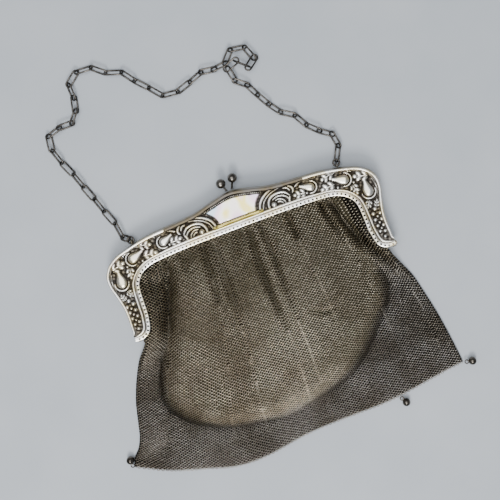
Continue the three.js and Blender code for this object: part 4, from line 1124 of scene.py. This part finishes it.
def ringLayer():
    # every ring's points and, for its colour, how much painted light and warmth it takes, how much painted
    # shade, and how high each point lies on it
    spots = latticeSpots()
    n = len(spots)
    x = spots[:, 0] + rng.normal(0, bag["unevenPlace"], n)
    y = spots[:, 1] + rng.normal(0, bag["unevenPlace"], n)
    z = bagHeight(x, y)
    near = bag["slopeStep"]
    slopeX = (bagHeight(x + near, y) - bagHeight(x - near, y)) / (2 * near)
    slopeY = (bagHeight(x, y + near) - bagHeight(x, y - near)) / (2 * near)
    up = unit(np.stack([-slopeX, -slopeY, np.ones(n)], 1))
    nextColumn = spots[:, 2:4]
    across = unit(np.stack([*nextColumn.T, slopeX * nextColumn[:, 0] + slopeY * nextColumn[:, 1]], 1))
    chainward = unit(np.cross(up, across))
    across = np.cross(chainward, up)
    # the rings lean on one another like scales, each column half a ring behind the last
    lean = -np.radians(bag["tilt"] + rng.normal(0, bag["unevenTilt"], n))
    leaning = chainward * np.cos(lean)[:, None] + up * np.sin(lean)[:, None]
    normal = np.cross(across, leaning)
    steps, sides = bag["ringSteps"], bag["wireSides"]
    a = 2 * math.pi * np.arange(steps) / steps
    b = 2 * math.pi * np.arange(sides) / sides + math.pi / 2
    radius, w = bag["ringRadius"], bag["wire"] / 2
    highest = radius * math.sin(math.radians(bag["tilt"])) + w
    ring, crest = np.zeros((n, steps, sides, 3)), np.zeros((n, steps, sides))
    centre = np.stack([x, y, z], 1)
    for i in range(steps):
        out = across * math.cos(a[i]) + leaning * math.sin(a[i])
        for j in range(sides):
            offset = out * (radius + w * math.cos(b[j])) + normal * (w * math.sin(b[j]))
            ring[:, i, j] = centre + offset
            # crest is a point's height in its ring: the top is painted light, the part under the neighbours
            # painted in shade
            crest[:, i, j] = 0.5 + 0.5 * (offset * up).sum(1) / highest
    inside = pouchDepth(x, y)
    # painted light: lighter and warmer over the lining and near the mouth
    warm = np.maximum(step(*ringTone["warmFoot"], inside), step(*ringTone["warmTop"], y))
    # painted shade in the valleys of the gathers
    lows = np.zeros(n)
    for valley in valleys[:ringTone["valleys"]]:
        gap, _, fade = alongValley(x, y, valley)
        depth = min(1, valley["depth"] / ringTone["deepest"])
        lows = np.maximum(lows, fade * depth * np.exp(-(gap / (ringTone["lowWidth"] * valley["half"])) ** 2))
    # painted shadow along the pouch's foot, where the mesh steps down
    fromFoot = (inside + ringTone["creaseWidth"]) / ringTone["creaseWidth"]
    crease = ringTone["crease"] * np.exp(-(fromFoot**2)) * step(*ringTone["creaseFade"], y)
    shade = np.maximum(ringTone["low"] * lows, crease)
    # painted shade on the rings under the strip, seen through its holes
    under = toLine(x, y, mouthCurve)[0] < bag["underStrip"]
    return ring, warm, np.where(under, ringTone["hidden"], shade), centre, crest


print("ring lattice")
rings, ringWarm, ringShade, ringCentre, ringCrest = ringLayer()
ringMat = ringMetal()
steps, sides = bag["ringSteps"], bag["wireSides"]
perRing = steps * sides
i, j = np.meshgrid(np.arange(steps), np.arange(sides), indexing="ij")
nextI, nextJ = (i + 1) % steps, (j + 1) % sides
corners = [i * sides + j, nextI * sides + j, nextI * sides + nextJ, i * sides + nextJ]
ringQuad = np.stack(corners, -1).reshape(-1, 4)
# the layer is cut across x into pieces with as many rings each
cuts = np.quantile(ringCentre[:, 0], np.linspace(0, 1, bag["pieces"] + 1))
for k in range(bag["pieces"]):
    some = (ringCentre[:, 0] >= cuts[k]) & ((ringCentre[:, 0] < cuts[k + 1]) | (k == bag["pieces"] - 1))
    part = toRow(rings[some].reshape(-1, 3))
    many = int(some.sum())
    quads = (ringQuad[None] + (np.arange(many) * perRing)[:, None, None]).reshape(-1)
    data = bpy.data.meshes.new(f"ring_mesh_front_{k + 1}")
    data.vertices.add(len(part))
    data.vertices.foreach_set("co", part.astype(np.float32).ravel())
    data.loops.add(len(quads))
    data.loops.foreach_set("vertex_index", quads.astype(np.int32))
    data.polygons.add(len(quads) // 4)
    data.polygons.foreach_set("loop_start", np.arange(0, len(quads), 4, dtype=np.int32))
    data.update(calc_edges=True)
    data.validate()
    data.polygons.foreach_set("use_smooth", np.ones(len(data.polygons), bool))
    ob = bpy.data.objects.new(data.name, data)
    bpy.context.scene.collection.objects.link(ob)
    attribute(ob, "warm", np.repeat(ringWarm[some], perRing))
    attribute(ob, "shade", np.repeat(ringShade[some], perRing))
    # a painted pool of light over the lower middle of the pouch, added to the random tint
    away = (ringCentre[some, :2] - ringTone["paintedLightAt"]) / ringTone["paintedLightHalf"]
    paintedLight = ringTone["paintedLight"] * np.exp(-(away**2).sum(1))
    tint = ringTone["tintSpread"] * rng.random(many) + ringTone["tint"] + paintedLight
    attribute(ob, "tint", np.repeat(tint, perRing))
    attribute(ob, "crest", ringCrest[some])
    data.materials.append(ringMat)
    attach(ob, "root")
    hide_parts("mesh_bag")
print("rings", len(ringCentre), "triangles", len(ringCentre) * perRing * 2)

# Far layer of the mesh: one flat sheet that closes the bag at its sides and hem

backing = {"rows": 90, "cols": 120, "z": 0.45, "thick": 0.5, "inset": 0.15, "lift": 1.3, "liftFade": (1.5, 7),
           "liftFoot": -3}


def backSheet():
    rows, cols = backing["rows"], backing["cols"]
    w = np.linspace(0, 1, rows)[:, None]
    u = np.linspace(0, 1, cols)[None, :]
    top = bag["wallTop"]
    # the first round takes the hem at even steps, the second where the columns really end
    y = top + (smoothLine(hemLine, cols)[None, :, 1] - top) * w
    x = leftAt(y) + (rightAt(y) - leftAt(y)) * u
    y = top + (hemAt(x) - top) * w
    x = leftAt(y) + (rightAt(y) - leftAt(y)) * u + backing["inset"] * (1 - 2 * u)
    gap = toLine(x.ravel(), y.ravel(), mouthCurve)[0].reshape(x.shape)
    z = backing["z"] + backing["lift"] * (1 - step(*backing["liftFade"], gap)) * (y > backing["liftFoot"])
    points = np.stack([x, y + backing["inset"] * w, z], -1)
    return meshFrom("ring_mesh_back", points.reshape(-1, 3), gridQuads(rows, cols))


backOb = outward(thickened(backSheet(), backing["thick"], 0))
finishFrame(backOb, "mesh_bag", backMesh(), roundShading)

# Lining: a cloth pouch just under the front layer, open at the mouth

pouch = {"rows": 70, "cols": 90, "below": 0.95, "floor": 1.5, "wall": 0.5, "inset": 1.2, "top": 35.5,
         "leastWidth": 0.6, "leastDepth": 0.3, "apart": 0.2, "lift": 0.9, "liftFade": (2, 8)}


def liningPouch():
    rows, cols = pouch["rows"], pouch["cols"]
    lowest = pouchCurve[:, 1].argmin()
    leftSide, rightSide = pouchCurve[:lowest + 1], pouchCurve[lowest:]
    foot = pouchCurve[lowest, 1] + pouch["inset"]
    share = np.linspace(0, 1, rows)
    y = pouch["top"] + (foot - pouch["top"]) * np.sin(share * math.pi / 2)
    left = np.interp(-y, -leftSide[:, 1], leftSide[:, 0]) + pouch["inset"]
    right = np.interp(y, rightSide[:, 1], rightSide[:, 0]) - pouch["inset"]
    wide = np.maximum(right - left, pouch["leastWidth"])
    u = (1 - np.cos(np.linspace(0, math.pi, cols))) / 2
    x = ((left + right) / 2)[:, None] + wide[:, None] * (u[None, :] - 0.5)
    y = np.repeat(y[:, None], cols, 1)
    z = np.maximum(bagHeight(x, y) - pouch["below"], pouch["floor"] + pouch["leastDepth"])
    mouth = toLine(x.ravel(), y.ravel(), mouthCurve)[0].reshape(x.shape)
    low = pouch["floor"] + pouch["lift"] * (1 - step(*pouch["liftFade"], mouth))
    front = np.stack([x, y, z], -1)
    behind = np.stack([x, y, np.minimum(low, z - pouch["apart"])], -1)[:, ::-1]
    ring = np.concatenate([front, behind], 1)
    # quads between the two layers close the foot; the mouth stays open
    count = ring.shape[1]
    base = (rows - 1) * count
    closing = [(base + i, base + i + 1, base + count - 2 - i, base + count - 1 - i) for i in range(cols - 1)]
    return meshFrom("lining_pouch", ring.reshape(-1, 3), [*gridQuads(rows, count, around=True), *closing])


liningOb = thickened(outward(liningPouch()), pouch["wall"], -1)
finishFrame(liningOb, "lining", liningCloth(), roundShading)
print("back layer and lining")


def sheetArea(ob):
    # a sheet with a thickness shows its area twice
    return round(sum(p.area for p in ob.data.polygons) / 2, 4)


print("sheet areas", sheetArea(backOb), sheetArea(liningOb))

# Floor, light and camera

floor = {"size": 1.6, "z": -0.0002}
deselectAll()
bpy.ops.mesh.primitive_plane_add(size=floor["size"], location=(0, 0, floor["z"]))
board = named("pale_floor")
board.data.materials.append(paleBoard())

lights = [
    {"name": "softbox", "at": (-0.12, 0.02, 1.0), "size": 0.9, "power": 7.0, "tint": (1.0, 1.0, 1.0)},
    {"name": "window", "at": (-0.20, -0.62, 0.80), "size": 0.35, "power": 6.0, "tint": (1.0, 0.99, 0.97)},
]
lightAim = Vector((0, -0.02, 0))
for row in lights:
    lamp = bpy.data.lights.new(row["name"], "AREA")
    lamp.size, lamp.energy, lamp.color = row["size"], row["power"], row["tint"]
    ob = bpy.data.objects.new(row["name"], lamp)
    ob.location = row["at"]
    ob.rotation_euler = (lightAim - Vector(row["at"])).to_track_quat("-Z", "Y").to_euler()
    bpy.context.scene.collection.objects.link(ob)

room = {"tint": (0.80, 0.84, 0.88, 1), "strength": 0.38}
world = bpy.data.worlds.new("room")
bpy.context.scene.world = world
world.use_nodes = True
background = world.node_tree.nodes["Background"]
background.inputs[0].default_value, background.inputs[1].default_value = room["tint"], room["strength"]

# the photograph looks straight down from a place above and right of the picture's middle
view = {"centre": (-0.9, 23.2), "level": 2.0, "width": 257.5, "roll": 20.55, "lens": 56, "sensor": 36,
        "up": 52.0, "right": 26.0, "nearest": 0.01, "farthest": 10}
cam = bpy.data.cameras.new("camera")
cam.lens, cam.sensor_width = view["lens"], view["sensor"]
cam.shift_x, cam.shift_y = -view["right"] / view["width"], -view["up"] / view["width"]
camera = bpy.data.objects.new("camera", cam)
bpy.context.scene.collection.objects.link(camera)
distance = view["width"] * mm * view["lens"] / view["sensor"]
roll = math.radians(view["roll"])
imageRight = Vector((math.cos(roll), -math.sin(roll), 0))
imageUp = Vector((math.sin(roll), math.cos(roll), 0))
target = spot(*view["centre"], view["level"])
aside = (imageRight * view["right"] + imageUp * view["up"]) * mm
camera.location = target + aside + Vector((0, 0, distance))
camera.rotation_mode = "QUATERNION"
camera.rotation_quaternion = Matrix((imageRight, imageUp, Vector((0, 0, 1)))).transposed().to_quaternion()
cam.dof.use_dof = False
cam.clip_start, cam.clip_end = view["nearest"], view["farthest"]
bpy.context.scene.camera = camera
print("camera")
